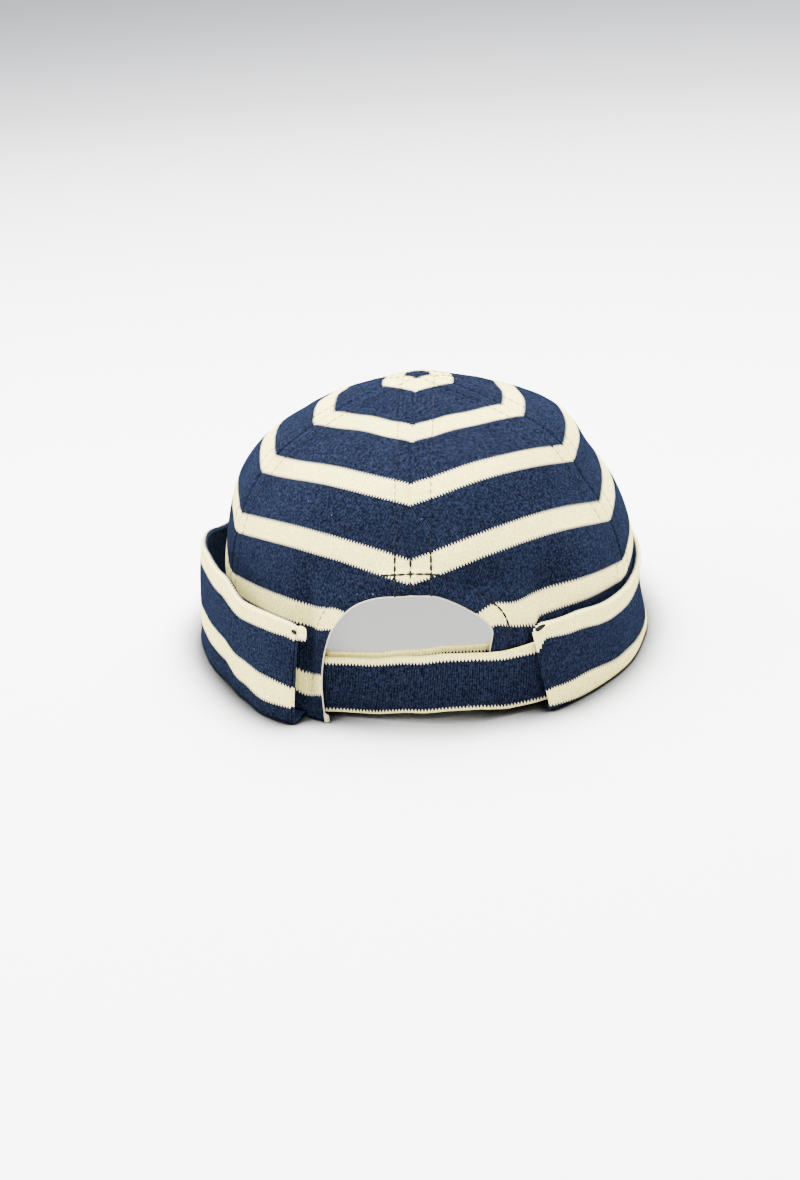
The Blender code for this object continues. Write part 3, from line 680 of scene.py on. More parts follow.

# %% [markdown]
# At both ends the doubled band is folded in by hand. At the left a corner of its inner layer hangs out as a small
# cream tab, and at both ends a little gap stays open under the rolled edge. Real holes would ask for a new mesh of
# the whole band. A gap this small shows as a dark spot of shade, so two thin dark lenses on the cuff's face stand for
# them: painted shade.

# %% Tab and gaps at the cuff's ends
TAB_FIRST, TAB_LAST = -0.0461, -0.0415  # along the foot of the crown, from the centre back
TAB_LOW, TAB_HIGH, TAB_THICKNESS = 0.0357, 0.0420, 0.0015
TAB_OUT, TAB_NAVY = 0.0013, 1.5  # how far out from the cuff's inner face, and its navy courses at the bottom
TAB_ROUND = 0.38  # how much the corners of the tab are rounded off
# The gaps are marked by dark lenses of painted shade: place, half sizes and lean of each
GapMark = namedtuple("GapMark", "across height half_width half_height lean")  # the lean in degrees
GAPS = [GapMark(-0.0466, 0.0396, 0.0013, 0.0007, -35.0), GapMark(0.0502, 0.0370, 0.0024, 0.0008, 12.0)]
LENS_OUT = 0.0003  # how far a lens stands out of the cuff's face
COUNTS_BESIDE = 300  # where the wale counts of these small pieces start


def on_cuff(across, height, out):
    """Point at a distance out from the cuff's inner face."""
    angle = across / CROWN_BACK
    whole = np.where(angle < 0, angle + 2 * math.pi, angle)
    reach = wall_reach(angle, height) + cuff_gap(whole, height / cuff_height(whole)) + out
    return around(angle, reach, height)


def make_tab():
    x, y = np.meshgrid(np.linspace(-1, 1, 13), np.linspace(-1, 1, 17), indexing="ij")
    pillow = np.sqrt((1 - x**4) * (1 - y**4)) * TAB_THICKNESS / 2
    x, y = x * np.sqrt(1 - TAB_ROUND * y**2), y * np.sqrt(1 - TAB_ROUND * x**2)
    arc, up = TAB_FIRST + (TAB_LAST - TAB_FIRST) * (x + 1) / 2, TAB_LOW + (TAB_HIGH - TAB_LOW) * (y + 1) / 2
    course = FIRST_COURSE + CREAM_COURSES - CREAM_TRIM + TAB_NAVY - (up - TAB_LOW) / COURSE
    knit = np.stack([arc / WALE + COUNTS_BESIDE, course], -1)
    front, back = on_cuff(arc, up, TAB_OUT + pillow), on_cuff(arc, up, TAB_OUT - pillow)
    return make_sheet("cuff_tab", front, back, knit, None)


def make_gap_shade(name, mark):
    """Dark lens on the cuff's outer face: painted shade of a small open gap."""
    turns, rings = np.meshgrid(np.linspace(0, 2 * math.pi, 17), np.linspace(0, 1, 5), indexing="ij")
    lean = math.radians(mark.lean)
    x = mark.half_width * rings * np.cos(turns)
    y = mark.half_height * rings * np.sin(turns) * (1 - 0.35 * np.cos(turns))
    arc = mark.across + x * math.cos(lean) - y * math.sin(lean)
    up = mark.height + x * math.sin(lean) + y * math.cos(lean)
    knit = np.stack([arc / WALE + COUNTS_BESIDE, 0 * arc + FIRST_COURSE + 2 * CREAM_COURSES], -1)
    front, back = on_cuff(arc, up, CUFF_THICKNESS + LENS_OUT), on_cuff(arc, up, CUFF_THICKNESS - LENS_OUT)
    return make_sheet(name, front, back, knit, None)


tab = make_tab()
gap_shades = [make_gap_shade("cuff_gap_%d" % i, mark) for i, mark in enumerate(GAPS)]
print("folded ends: 1 tab and", len(gap_shades), "gap_shades")

# %% [markdown]
# ## The straps
# Two straps of doubled knit cross the opening, one right behind the other. The outer one comes from inside the cap
# at the left and passes over the crown at the right, so its distance from the crown's face changes on the way. A
# curve with a flat bevel could make one, but a section swept along a small table also carries the strap's sag, its
# width and the change from navy to cream.

# %% Sizes of the straps
STRAP_WIDTH, STRAP_FOOT = 0.0260, 0.0050
INNER_STRAP_LIFT, STRAP_DRAW_IN = 0.0013, 0.0072  # the inner one sits higher; both are taut across the arch
INNER_LEVEL_FROM = 16.0  # from this angle on the inner strap keeps its height
STRAP_CREAM_LOW = 0.0021
STRAP_WALE = 0.00142  # the straps are knitted a little looser
STRAP_STEP = 0.0011
OUTER_TUCK_LEFT, INNER_TUCK = 0.0240, 0.0190  # how far they run on behind the crown
BINDING_ROOM = 0.0013  # the outer strap has come forward before it meets the arch's bound edge
HALF_STRAP = STRAP_THICKNESS / 2
INSIDE = -(CLOTH + HEM_RISE + CLEARANCE + HALF_STRAP)
OUTSIDE = HEM_RISE + CLEARANCE + HALF_STRAP
# Foot and width as shares of the sizes above, and the upper cream in metres; degrees from the centre back
StrapPlace = namedtuple("StrapPlace", "angle foot width cream")
STRAP_LINE = [
    StrapPlace(-25.0, 0.44, 0.91, 0.0030),
    StrapPlace(-14.0, 0.40, 0.93, 0.0031),
    StrapPlace(-1.0, 0.80, 0.94, 0.0032),
    StrapPlace(9.0, 1.02, 0.955, 0.0031),
    StrapPlace(16.0, 0.98, 0.965, 0.0032),
    StrapPlace(24.0, 0.60, 0.985, 0.0038),
    StrapPlace(32.0, 0.58, 1.00, 0.0046),
]
print("strap: %.0f to %.0f mm wide" % tuple(1000 * STRAP_WIDTH * f(s.width for s in STRAP_LINE) for f in (min, max)))


# %% Straps across the opening
def strap_section(width, cream):
    """Closed line round a strap, up its front and down its back, and the course at each point."""
    turns = np.radians(np.linspace(-90, 90, 9))
    across = np.linspace(HALF_STRAP, width - HALF_STRAP, 22)
    round_top = np.stack([width - HALF_STRAP + HALF_STRAP * np.cos(turns), -HALF_STRAP * np.sin(turns)], -1)
    round_foot = np.stack([HALF_STRAP - HALF_STRAP * np.cos(turns), HALF_STRAP * np.sin(turns)], -1)
    front = np.stack([across, HALF_STRAP + 0.0 * across], -1)
    section = np.concatenate([front[1:-1], round_top, (front * [1, -1])[-2:0:-1], round_foot])
    colour_changes = [0, STRAP_CREAM_LOW, width - cream, width]
    counts = [PITCH_COURSES + STRAP_CREAM_LOW / COURSE, PITCH_COURSES, CREAM_COURSES, CREAM_COURSES - cream / COURSE]
    return section, np.interp(section[:, 0], colour_changes, counts) + FIRST_COURSE


def strap(name, node, first, last, offset, lift, level_from):
    left, right = -ARCH_LEFT / CROWN_BACK, (0.92 * ARCH_RIGHT - BINDING_ROOM) / CROWN_BACK
    rings, knits = [], []
    for angle in np.linspace(first, last, int((last - first) * CROWN_BACK / STRAP_STEP)):
        place = np.clip(np.degrees(angle), STRAP_LINE[0].angle, STRAP_LINE[-1].angle)
        width, cream = (eased_column(STRAP_LINE, column, place) for column in ("width", "cream"))
        section, course = strap_section(STRAP_WIDTH * width, cream)
        way = np.clip((angle - left) / (right - left), 0, 1)
        foot = STRAP_FOOT * eased_column(STRAP_LINE, "foot", np.minimum(place, level_from)) + lift
        taut = STRAP_DRAW_IN * 4 * way * (1 - way)
        height = foot + section[:, 0]
        angles = np.full(len(height), angle)
        reach = wall_reach(angle, height) - dent_depth(angles, height) + offset(way) - taut + section[:, 1]
        rings.append(around(angles, reach, height))
        knits.append(np.stack([angles * CROWN_BACK / STRAP_WALE, course], -1))
    return make_tube(name, rings, knits, node)


left_foot, right_foot = ARCH_LEFT / CROWN_BACK, ARCH_RIGHT / CROWN_BACK
outer_strap = strap(
    "outer_strap_knit",
    "back_strap",
    -left_foot - OUTER_TUCK_LEFT / CROWN_BACK,
    right_foot + OUTER_TUCK_RIGHT / CROWN_BACK,
    lambda way: INSIDE + (OUTSIDE - INSIDE) * ease(way),
    0.0,
    STRAP_LINE[-1].angle,
)
inner_strap = strap(
    "inner_strap_knit",
    "inner_strap",
    -left_foot - INNER_TUCK / CROWN_BACK,
    right_foot + INNER_TUCK / CROWN_BACK,
    lambda way: INSIDE - (STRAP_THICKNESS + 2 * CLEARANCE) * (1 - ease(1.6 * way)),
    INNER_STRAP_LIFT,
    INNER_LEVEL_FROM,
)
print("straps:", len(outer_strap.data.polygons), "and", len(inner_strap.data.polygons), "quads")

# %% [markdown]
# ## The binding of the arch
# A thin cream edge follows the whole arch and ends in a folded tab at its left foot. A bevelled curve could do the
# edge but not the flat tab, so it is a small tube swept along the arch's outline on the cloth, and it widens there.

# %% Binding and its tab
EDGE_WIDTH, BINDING_STEP = 0.0005, 0.0005
EDGE_TAB_WIDTH, EDGE_TAB_LENGTH, EDGE_TAB_THICKNESS = 0.0021, 0.0034, 0.0007
EDGE_OUT = 0.0008  # from the plain dome out to the binding's outer side


def make_binding():
    left, right = flat_arch(-1, BINDING_STEP)[::-1], flat_arch(1, BINDING_STEP)
    places = np.concatenate([left, right[1:]])
    along = np.gradient(places, axis=0)
    along /= np.linalg.norm(along, axis=1, keepdims=True)
    into = np.stack([along[:, 1], -along[:, 0]], -1)
    on_left = np.arange(len(places)) < len(left)
    tab_share = 1 - ease((places[:, 1] - EDGE_TAB_LENGTH * 0.7) / (EDGE_TAB_LENGTH * 0.3))
    tab_share = np.where(on_left, tab_share, 0.0)
    width = (EDGE_WIDTH + (EDGE_TAB_WIDTH - EDGE_WIDTH) * tab_share) / 2
    thick = EDGE_WIDTH / 2 + EDGE_TAB_THICKNESS * tab_share
    turns = np.radians(np.arange(0, 360, 30))
    lines = []
    for turn in turns:
        spot = places + into * (width * (1 - np.cos(turn)))[:, None]
        angle, height = spot[:, 0] / CROWN_BACK, np.maximum(spot[:, 1], 0.0)
        share = share_at(height)
        depth = EDGE_WIDTH / 2 - EDGE_OUT + thick * math.sin(turn) + dent_depth(angle, height)
        point = crown_base(angle, share) - crown_normal(angle, share) * depth[:, None]
        point[:, 2] = np.maximum(point[:, 2], 0.0)
        lines.append(point)
    wales = np.repeat(np.cumsum(np.full(len(places), BINDING_STEP)) / WALE, len(turns))
    courses = np.tile(FIRST_COURSE + 2 + 4 * np.sin(turns / 2), len(places))
    knit = np.stack([wales, courses], -1)
    rings = np.array(lines).transpose(1, 0, 2)
    return make_tube("arch_binding_knit", rings, knit, "arch_binding", flip=True)


binding = make_binding()
print("binding:", len(binding.data.polygons), "quads")

# %% [markdown]
# ## Topstitching
# Each seam of the crown is held down by a row of stitches on either side, and the arch's hem by one row. A stitch is
# a short thread that sinks into the cloth at both ends. Geometry Nodes are made for this: the rows are drawn as
# curves on the cloth, and a tree sets one small thread on them at every stitch length.

# %% Rows of stitching as curves on the cloth
THREAD_OUT = 0.0001  # how far the rows run above the cloth
SEAM_TOP, SEAM_FOOT = 0.035, 0.97  # shares down the crown where the rows beside a seam start and end
CENTRE_STITCH_RIGHT = 0.0077  # the row to the right of the centre seam runs further from it
SEAMS = [-math.pi, -FRONT_SEAM, -BACK_SEAM_LEFT, 0.0, BACK_SEAM_RIGHT, FRONT_SEAM, math.pi]


def on_crown(angle, share, first, last, out=THREAD_OUT):
    """Points on the outer face of the panel between two seams, relief and all."""
    _, seam_distance = knit_of(angle, share, first, last)
    relief = crown_relief(angle, share, seam_distance, first + last)
    if at_back(first, last):
        relief = relief + hem_relief(arch_distance(angle, crown_height(share)))
    return crown_base(angle, share) + crown_normal(angle, share) * (relief + out)[..., None] + AXIS


def seam_row(seam, first, last, foot_share=SEAM_FOOT, from_seam=SEAM_STITCH):
    share = np.linspace(SEAM_TOP, foot_share, 240)
    inward = np.sign((first + last) / 2 - seam)
    return on_crown(seam + inward * from_seam / crown_reach(seam + 0 * share, share), share, first, last)


def hem_row(side, first, last):
    outline = flat_arch(side)
    along = np.gradient(outline, axis=0)
    along /= np.linalg.norm(along, axis=1, keepdims=True)
    outward = np.stack([-along[:, 1], along[:, 0]], -1) * side
    spots = outline + outward * HEM_STITCH
    spots = spots[spots[:, 1] > 0.001]
    return on_crown(spots[:, 0] / CROWN_BACK, share_at(spots[:, 1]), first, last)


arch_share = float(share_at(ARCH_HEIGHT)) - 0.004
centre_rows = [
    seam_row(0.0, -BACK_SEAM_LEFT, 0.0, arch_share),
    seam_row(0.0, 0.0, BACK_SEAM_RIGHT, arch_share, CENTRE_STITCH_RIGHT),
]
side_rows = [seam_row(seam, *pair) for pair in zip(SEAMS, SEAMS[1:]) for seam in pair if seam != 0.0]
hem_rows = [hem_row(-1, -BACK_SEAM_LEFT, 0.0), hem_row(1, 0.0, BACK_SEAM_RIGHT)]
rows = centre_rows + side_rows + hem_rows
print("stitching:", len(rows), "rows")

# %% [markdown]
# Where the centre seam meets the hem the cloth is thick, and the thread lies bare on it instead of sinking in, as it
# does on a stretch of the hem at the right. These stretches are sewn a second time with a bolder thread.

# %% Where the thread lies bare
BARE_SPAN, BARE_ABOVE = 0.0100, 0.017  # to either side of the centre seam, and above the arch
BARE_LOW, BARE_HIGH = 0.036, 0.050  # heights between which the right side of the hem shows its thread
CENTRE_HIGH, CENTRE_LOW = 0.0105, 0.003  # above the arch: the row in the centre seam itself
BESIDE_SEAM = 0.0001  # angle that keeps this row on the right panel

near_centre = [row[np.abs(row[:, 0] - AXIS[0]) < BARE_SPAN] for row in hem_rows]
low_down = [row[row[:, 2] < ARCH_HEIGHT + BARE_ABOVE] for row in centre_rows]
right_hem = hem_rows[1][(hem_rows[1][:, 2] > BARE_LOW) & (hem_rows[1][:, 2] < BARE_HIGH)]
low_share = share_at(np.linspace(ARCH_HEIGHT + CENTRE_HIGH, ARCH_HEIGHT + CENTRE_LOW, 12))
centre_row = on_crown(0 * low_share + BESIDE_SEAM, low_share, 0.0, BACK_SEAM_RIGHT, 2 * THREAD_OUT)
bare_rows = [*near_centre, *low_down, right_hem, centre_row]
print("bare thread:", len(bare_rows), "stretches")

# %% A node tree that sews along curves
STITCH_LENGTH, STITCH_THREAD, BOLD_THREAD = 0.0030, 0.00017, 0.00050  # the last two are radii
SUNK_SHARE, BARE_SHARE = 0.78, 1.12  # length of thread that shows, as a share of the stitch


def add(tree, kind, inputs=None, **settings):
    """Adds a node, sets it, and links or fills its inputs. A node as an input stands for its first output in use."""
    node = tree.nodes.new(kind)
    for name, value in settings.items():
        setattr(node, name, value)
    for key, value in (inputs or {}).items():
        if isinstance(value, bpy.types.Node):
            value = next(socket for socket in value.outputs if socket.enabled)
        if isinstance(value, bpy.types.NodeSocket):
            tree.links.new(value, node.inputs[key])
        else:
            node.inputs[key].default_value = value
    return node


def stitching_tree():
    tree = bpy.data.node_groups.new("stitch_rows", "GeometryNodeTree")
    tree.interface.new_socket("Geometry", in_out="INPUT", socket_type="NodeSocketGeometry")
    for name, value in (
        ("Stitch Length", STITCH_LENGTH),
        ("Thread Radius", STITCH_THREAD),
        ("Shown Share", SUNK_SHARE),
    ):
        tree.interface.new_socket(name, in_out="INPUT", socket_type="NodeSocketFloat").default_value = value
    tree.interface.new_socket("Thread", in_out="INPUT", socket_type="NodeSocketMaterial")
    tree.interface.new_socket("Geometry", in_out="OUTPUT", socket_type="NodeSocketGeometry")
    given = add(tree, "NodeGroupInput").outputs
    length, radius = given["Stitch Length"], given["Thread Radius"]
    spaced = add(tree, "GeometryNodeResampleCurve", {"Curve": given["Geometry"], "Length": length}, mode="LENGTH")
    half = add(tree, "ShaderNodeMath", {0: length, 1: given["Shown Share"]}, operation="MULTIPLY")
    half = add(tree, "ShaderNodeMath", {0: half, 1: 0.5}, operation="MULTIPLY")
    size = add(tree, "ShaderNodeCombineXYZ", {0: radius, 1: radius, 2: half})
    ball = add(tree, "GeometryNodeMeshUVSphere", {"Segments": 6, "Rings": 5, "Radius": 1.0})
    tangent = add(tree, "GeometryNodeInputTangent")
    turn = add(tree, "FunctionNodeAlignRotationToVector", {"Vector": tangent}, axis="Z")
    threads = {"Points": spaced, "Instance": ball, "Rotation": turn, "Scale": size}
    solid = add(tree, "GeometryNodeRealizeInstances", {0: add(tree, "GeometryNodeInstanceOnPoints", threads)})
    dressed = add(tree, "GeometryNodeSetMaterial", {"Geometry": solid, "Material": given["Thread"]})
    add(tree, "NodeGroupOutput", {0: dressed})
    return tree


def sew(name, rows, thread, radius, shown):
    """Sews the rows and leaves a plain mesh."""
    lines = bpy.data.curves.new(name, "CURVE")
    lines.dimensions = "3D"
    for row in rows:
        spline = lines.splines.new("POLY")
        spline.points.add(len(row) - 1)
        spline.points.foreach_set("co", np.concatenate([row, np.ones((len(row), 1))], 1).ravel())
    drawn = in_scene(name + "_rows", lines)
    tree = stitching_tree()
    modifier = drawn.modifiers.new("sewing", "NODES")
    modifier.node_group = tree
    given = {"Thread": thread, "Thread Radius": radius, "Shown Share": shown}
    for item in tree.interface.items_tree:
        if item.in_out == "INPUT" and item.name in given:
            modifier[item.identifier] = given[item.name]
    bpy.context.view_layer.update()
    evaluated = drawn.evaluated_get(bpy.context.evaluated_depsgraph_get())
    mesh = bpy.data.meshes.new_from_object(evaluated)
    mesh.name = name
    mesh.shade_smooth()
    bpy.data.objects.remove(drawn)
    return in_scene(name, mesh)


print("a stitch is %.0f mm long" % (1000 * STITCH_LENGTH))

# %% [markdown]
# ## The thread
# Spun polyester sewing thread, dark navy and dull. Its colour is nearly black: partly the thread's own dark navy,
# partly painted shade of the furrow that it lies in. Its twist is too fine to show here, so a twisted mesh would be
# wasted. Two close shades in small marks are enough to keep it from looking like plastic wire.


# %% Thread material, and the sewing
def linear(code):
    """Colour of an sRGB hex code, in the linear values that shaders take."""
    parts = [int(code[i : i + 2], 16) / 255 for i in (1, 3, 5)]
    return (*[p / 12.92 if p <= 0.04045 else ((p + 0.055) / 1.055) ** 2.4 for p in parts], 1.0)


def new_material(name, finish):
    """New material, with the finish as values of its shader's own sockets."""
    material = bpy.data.materials.new(name)
    material.use_nodes = True
    shader = material.node_tree.nodes["Principled BSDF"]
    for socket, value in finish.items():
        shader.inputs[socket].default_value = value
    return material, material.node_tree, shader


def two_shades(name, dark, light, finish):
    """Yarn or cloth in two shades, mixed in marks about 1.1 mm wide: real fibres are finer, and wouldn't show."""
    material, tree, shader = new_material(name, finish)
    place = add(tree, "ShaderNodeTexCoord").outputs["Object"]
    fibre = add(tree, "ShaderNodeTexNoise", {"Vector": place, "Scale": 900.0, "Detail": 2.0})
    shades = {"Factor": fibre, "A": linear(dark), "B": linear(light)}
    shade = add(tree, "ShaderNodeMix", shades, data_type="RGBA")
    tree.links.new(shade.outputs["Result"], shader.inputs["Base Color"])
    return material


THREAD_FINISH = {"Roughness": 0.8, "Specular IOR Level": 0.1}  # spun fibres: hardly any gloss
# Nearly black: the thread's own dark navy, darkened further by painted shade of its furrow
thread = two_shades("spun_polyester_thread", "#030408", "#0e1016", THREAD_FINISH)
stitches = sew("topstitching", rows, thread, STITCH_THREAD, SUNK_SHARE)
bare_stitches = sew("bare_topstitching", bare_rows, thread, BOLD_THREAD, BARE_SHARE)
for sewn in (stitches, bare_stitches):
    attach(sewn, "root")
    print("stitches:", len(sewn.data.polygons), "faces")

# %% [markdown]
# ## The knit
# Heavy cotton jersey, knitted on a flat machine. Its face is columns of small V stitches. A stitch is two leaning
# legs of yarn, so a course doesn't end on a straight line: where the colour changes, its edge has one tooth for each
# wale. Modelled stitches would run to hundreds of thousands, and an image of knit would stretch on the dome. So the
# material counts stitches. It folds each wale in two, leans the courses along the legs and rounds the yarn. The same
# leaning count then picks the colour, and the teeth come by themselves.

# %% Stitch shape from the UV map
LEAN = 1.6  # courses by which a stitch's legs rise from its middle to its sides
ROUNDING = 0.06  # of the loop's lower end, in wales
MEAN_SIDE = 0.27  # mean distance from a wale's middle, so that leaning shifts no stripe


def stitch_nodes(tree):
    """Yarn height (0 to 1) and leaning course count of the jersey's face."""
    place = add(tree, "ShaderNodeSeparateXYZ", {0: add(tree, "ShaderNodeUVMap", uv_map="knit")}).outputs
    in_wale = add(tree, "ShaderNodeMath", {0: place[0]}, operation="FRACT")
    from_middle = add(tree, "ShaderNodeMath", {0: in_wale, 1: 0.5}, operation="SUBTRACT")
    rounded = {0: from_middle, 1: from_middle, 2: ROUNDING**2}
    side = add(tree, "ShaderNodeMath", rounded, operation="MULTIPLY_ADD")
    side = add(tree, "ShaderNodeMath", {0: side}, operation="SQRT")
    level = add(tree, "ShaderNodeMath", {0: place[1], 1: LEAN * MEAN_SIDE * 2}, operation="SUBTRACT")
    course = add(tree, "ShaderNodeMath", {0: side, 1: 2 * LEAN, 2: level}, operation="MULTIPLY_ADD")
    leg = add(tree, "ShaderNodeMath", {0: side, 1: 4.0, 2: -1.0}, operation="MULTIPLY_ADD")
    leg = add(tree, "ShaderNodeMath", {0: leg, 1: leg}, operation="MULTIPLY")
    leg = add(tree, "ShaderNodeMath", {0: 1.0, 1: leg}, operation="SUBTRACT", use_clamp=True)
    phase = add(tree, "ShaderNodeMath", {0: course, 1: math.pi}, operation="MULTIPLY")
    yarn = add(tree, "ShaderNodeMath", {0: phase}, operation="SINE")
    yarn = add(tree, "ShaderNodeMath", {0: yarn}, operation="ABSOLUTE")
    yarn = add(tree, "ShaderNodeMath", {0: yarn, 1: 0.5, 2: 0.5}, operation="MULTIPLY_ADD")
    height = add(tree, "ShaderNodeMath", {0: yarn, 1: leg}, operation="MULTIPLY")
    return height, course


print("teeth at a change of colour: one every %.2f mm" % (1000 * WALE))

# %% Jersey material
# Combed cotton: no gloss at all, and a faint bluish bloom of fuzz where the cloth turns away
JERSEY_FINISH = {"Roughness": 0.92, "Specular IOR Level": 0.0}
BLOOM = {"Sheen Weight": 0.03, "Sheen Roughness": 0.45, "Sheen Tint": linear("#86a4e6")}
# Marks per metre, so about 0.9, 1.2 and 22 mm wide. Real fibres are far finer, and wouldn't show.
GRAIN_SCALE, LINT_SCALE, WEAR_SCALE = 1100.0, 800.0, 45.0
# The stitches' part is painted shade: yarn lying low between the loops is drawn darker
STITCH_SHADE_PART, GRAIN_PART = 0.62, 0.38  # what the stitches and the fibres' grain add to light and dark
# Darkest and lightest shade of each yarn, and the yarn heights between which they mix. The dark end is painted shade
# in the hollows between the loops, and the grain mixes in random tone.
YARNS_WITH_PAINTED_SHADE = (("#010102", "#21283b", 0.36, 0.96), ("#bdae6c", "#fff290", 0.12, 0.90))


def jersey_material(name):
    material, tree, shader = new_material(name, {**JERSEY_FINISH, **BLOOM})
    height, course = stitch_nodes(tree)
    # Distance in courses from the middle of the cream stripe
    stripe = add(tree, "ShaderNodeMath", {0: course, 1: float(PITCH_COURSES)}, operation="FLOORED_MODULO")
    from_middle = add(tree, "ShaderNodeMath", {0: stripe, 1: CREAM_COURSES / 2}, operation="SUBTRACT")
    from_middle = add(tree, "ShaderNodeMath", {0: from_middle}, operation="ABSOLUTE")
    half_stripe = CREAM_COURSES / 2 - CREAM_TRIM
    cream = add(tree, "ShaderNodeMath", {0: from_middle, 1: half_stripe}, operation="LESS_THAN")
    # Shades of the two yarns: painted shade where the yarn lies low between the loops, and random tone from the
    # fibres' grain
    place = add(tree, "ShaderNodeTexCoord").outputs["Object"]
    fuzz = add(tree, "ShaderNodeTexNoise", {"Vector": place, "Scale": GRAIN_SCALE, "Detail": 2.0, "Roughness": 0.6})
    grain = add(tree, "ShaderNodeMapRange", {"Value": fuzz, "From Min": 0.36, "From Max": 0.66})
    yarn = add(tree, "ShaderNodeMath", {0: height, 1: STITCH_SHADE_PART}, operation="MULTIPLY")
    yarn = add(tree, "ShaderNodeMath", {0: grain, 1: GRAIN_PART, 2: yarn}, operation="MULTIPLY_ADD")
    tones = []
    for dark, light, low, high in YARNS_WITH_PAINTED_SHADE:
        depth = add(tree, "ShaderNodeMapRange", {"Value": yarn, "From Min": low, "From Max": high})
        shades = {"Factor": depth, "A": linear(dark), "B": linear(light)}
        tones.append(add(tree, "ShaderNodeMix", shades, data_type="RGBA"))
    navy, pale = tones
    # The cream's last course lies in the navy's shade
    edge = {"Value": from_middle, "From Min": half_stripe - 0.8, "From Max": half_stripe - 0.1}
    edge = add(tree, "ShaderNodeMapRange", edge)
    pale = add(tree, "ShaderNodeMix", {"Factor": edge, "A": pale, "B": linear("#d3c99f")}, data_type="RGBA")
    dyed = add(tree, "ShaderNodeMix", {"Factor": cream, "A": navy, "B": pale}, data_type="RGBA")
    # A little pale lint, and slow unevenness over the whole cloth
    lint = add(tree, "ShaderNodeTexNoise", {"Vector": place, "Scale": LINT_SCALE, "Detail": 0.0})
    lint = add(tree, "ShaderNodeMapRange", {"Value": lint, "From Min": 0.86, "From Max": 0.92, "To Max": 0.20})
    dyed = add(tree, "ShaderNodeMix", {"Factor": lint, "A": dyed, "B": linear("#8d93a0")}, data_type="RGBA")
    wear = add(tree, "ShaderNodeTexNoise", {"Vector": place, "Scale": WEAR_SCALE, "Detail": 3.0})
    wear = add(tree, "ShaderNodeMapRange", {"Value": wear, "To Min": 0.88, "To Max": 1.12})
    shaded = add(tree, "ShaderNodeVectorMath", {0: dyed, "Scale": wear}, operation="SCALE")
    tree.links.new(shaded.outputs[0], shader.inputs["Base Color"])
    # Stitches and fuzz as bump, since both are far smaller than the mesh
    relief = add(tree, "ShaderNodeMath", {0: fuzz, 1: 0.25, 2: height}, operation="MULTIPLY_ADD")
    bump = add(tree, "ShaderNodeBump", {"Height": relief, "Distance": 0.00030, "Strength": 0.7})
    tree.links.new(bump.outputs[0], shader.inputs["Normal"])
    return material


jersey = jersey_material("cotton_jersey_navy_and_cream")
jersey_pieces = [*crown_panels, cuff, tab, outer_strap, inner_strap]
for piece in jersey_pieces:
    piece.data.materials.append(jersey)
print("jersey on", len(jersey_pieces), "pieces")

# %% [markdown]
# The arch's edge is the same cotton, but it is folded so tightly that its stitches don't show. It lies half in the
# shade of the opening, so it is a greyer cream than the stripes. The dark lenses take the thread's material, because
# what shows in a gap is the navy cloth's own deep shade.

# %% Materials of the edge and the gaps
binding.data.materials.append(two_shades("folded_cotton_edge", "#978b72", "#c8bba2", JERSEY_FINISH))
for gap in gap_shades:
    gap.data.materials.append(thread)
print("dressed as well: the arch's edge and", len(gap_shades), "gap_shades")

# %% [markdown]
# ## Table, light and camera
# The photograph was taken on white, under soft and even light. A bright surround gives most of it. One broad lamp
# hangs overhead and beyond the cap, a weaker one stands at the left and the weakest by the camera. The table is one
# flat white square. Its colour is painted darker far away, as the lamps' light falling off. It glows inside the cap,
# where the real one looks nearly white, and a painted contact shadow darkens it where the cloth stands on it. The
# camera has a 50 mm lens on a 36 mm tall frame, 0.7 m away and looking 26 degrees down, as worked out from the cap's
# seams and stripes.

# %% Floor
FLOOR_GLOW = 1.0
GLOW_FULL, GLOW_END = 0.035, 0.068  # distances from the crown's axis
# Painted contact shadow: the table's colour is painted dark where cloth stands close by
PAINTED_SHADOW_REACH = 0.020  # how far the dark line of contact reaches out on the table
HALF_FLOOR = 6


def floor_material():
    # Painted board: smooth, with hardly any gloss
    finish = {"Specular IOR Level": 0.1, "Roughness": 0.75, "Emission Color": linear("#ffffff")}
    material, tree, shader = new_material("white_table", finish)
    place = add(tree, "ShaderNodeTexCoord").outputs["Object"]
    glow = {"Value": add(tree, "ShaderNodeVectorMath", {0: place, 1: AXIS}, operation="DISTANCE")}
    glow.update({"From Min": GLOW_FULL, "From Max": GLOW_END, "To Min": FLOOR_GLOW, "To Max": 0.0})
    glow = add(tree, "ShaderNodeMapRange", glow, interpolation_type="SMOOTHSTEP")
    tree.links.new(glow.outputs[0], shader.inputs["Emission Strength"])
    # Painted light falloff: the table's colour darkens towards the back, as the lamps' light falls off with distance
    back = add(tree, "ShaderNodeSeparateXYZ", {0: place})
    back = add(tree, "ShaderNodeMapRange", {"Value": back.outputs[1], "From Min": 0.1, "From Max": 1.3})
    shades = {"Factor": back, "A": linear("#e4e4e4"), "B": linear("#a6a6a8")}
    white = add(tree, "ShaderNodeMix", shades, data_type="RGBA")
    # Painted contact shadow: where ambient occlusion finds cloth within reach, the table's colour is painted nearly
    # black
    near = add(tree, "ShaderNodeAmbientOcclusion", {"Distance": PAINTED_SHADOW_REACH}, samples=8)
    near = add(tree, "ShaderNodeMapRange", {"Value": near.outputs["AO"], "From Min": 0.58, "From Max": 0.96})
    shade = add(tree, "ShaderNodeMix", {"Factor": near, "A": linear("#0c0d0d"), "B": white}, data_type="RGBA")
    tree.links.new(shade.outputs["Result"], shader.inputs["Base Color"])
    return material


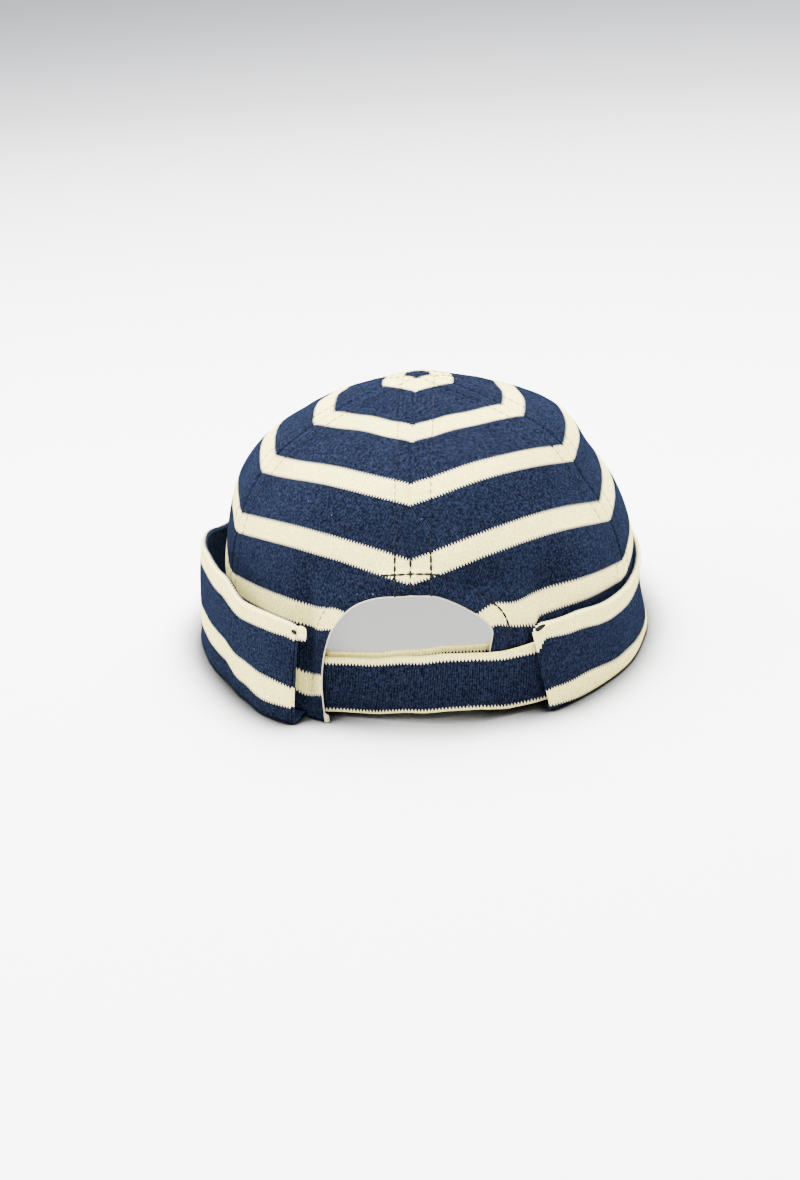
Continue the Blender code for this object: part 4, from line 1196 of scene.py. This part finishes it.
floor_mesh = bpy.data.meshes.new("table_top")
corners = [(x * HALF_FLOOR, y * HALF_FLOOR, 0) for x, y in ((-1, -1), (1, -1), (1, 1), (-1, 1))]
floor_mesh.from_pydata(corners, [], [(0, 1, 2, 3)])
floor_mesh.materials.append(floor_material())
floor = in_scene("table_top", floor_mesh)
print("table: %d m wide" % (2 * HALF_FLOOR))

# %% Lights
world = bpy.data.worlds.new("studio")
world.use_nodes = True
sky = world.node_tree.nodes["Background"].inputs
sky["Color"].default_value = linear("#f2f5fa")
sky["Strength"].default_value = 1.80
bpy.context.scene.world = world


def softbox(name, place, size, watts, target=(0.0, 0.0, 0.05)):
    lamp = bpy.data.lights.new(name, "AREA")
    lamp.shape = "RECTANGLE"
    lamp.size, lamp.size_y = size
    lamp.energy = watts
    facing = (Vector(target) - Vector(place)).to_track_quat("-Z", "Y")
    in_scene(name, lamp).matrix_world = Matrix.Translation(place) @ facing.to_matrix().to_4x4()
    return lamp


lamps = [
    softbox("overhead_softbox", (0.05, 0.40, 1.25), (1.5, 1.2), 190.0),
    softbox("key_softbox", (-1.25, -0.10, 1.05), (1.1, 1.0), 60.0),
    softbox("camera_softbox", (0.15, -1.00, 1.30), (1.0, 0.7), 24.0),
]
print("lamps:", len(lamps), "with", sum(lamp.energy for lamp in lamps), "W in all")

# %% Camera
CAMERA_PLACE = Vector((0.0607, -0.6288, 0.3287)) + Vector(AXIS)
HEADING, TILT, ROLL = math.radians(-6.75), math.radians(-26.29), math.radians(-4.38)
lens = bpy.data.cameras.new("camera")
lens.sensor_fit = "VERTICAL"
lens.sensor_height = 36.0
lens.lens = 50.1
lens.clip_start = 0.01
ahead = Vector((math.sin(HEADING) * math.cos(TILT), math.cos(HEADING) * math.cos(TILT), math.sin(TILT)))
level = ahead.cross(Vector((0, 0, 1))).normalized()
above = level.cross(ahead)
right = level * math.cos(ROLL) + above * math.sin(ROLL)
upright = -level * math.sin(ROLL) + above * math.cos(ROLL)
turn = Matrix((right, upright, -ahead)).transposed().to_4x4()
camera = in_scene("camera", lens)
camera.matrix_world = Matrix.Translation(CAMERA_PLACE) @ turn
bpy.context.scene.camera = camera
print("camera: %.2f m from the cap" % CAMERA_PLACE.length)
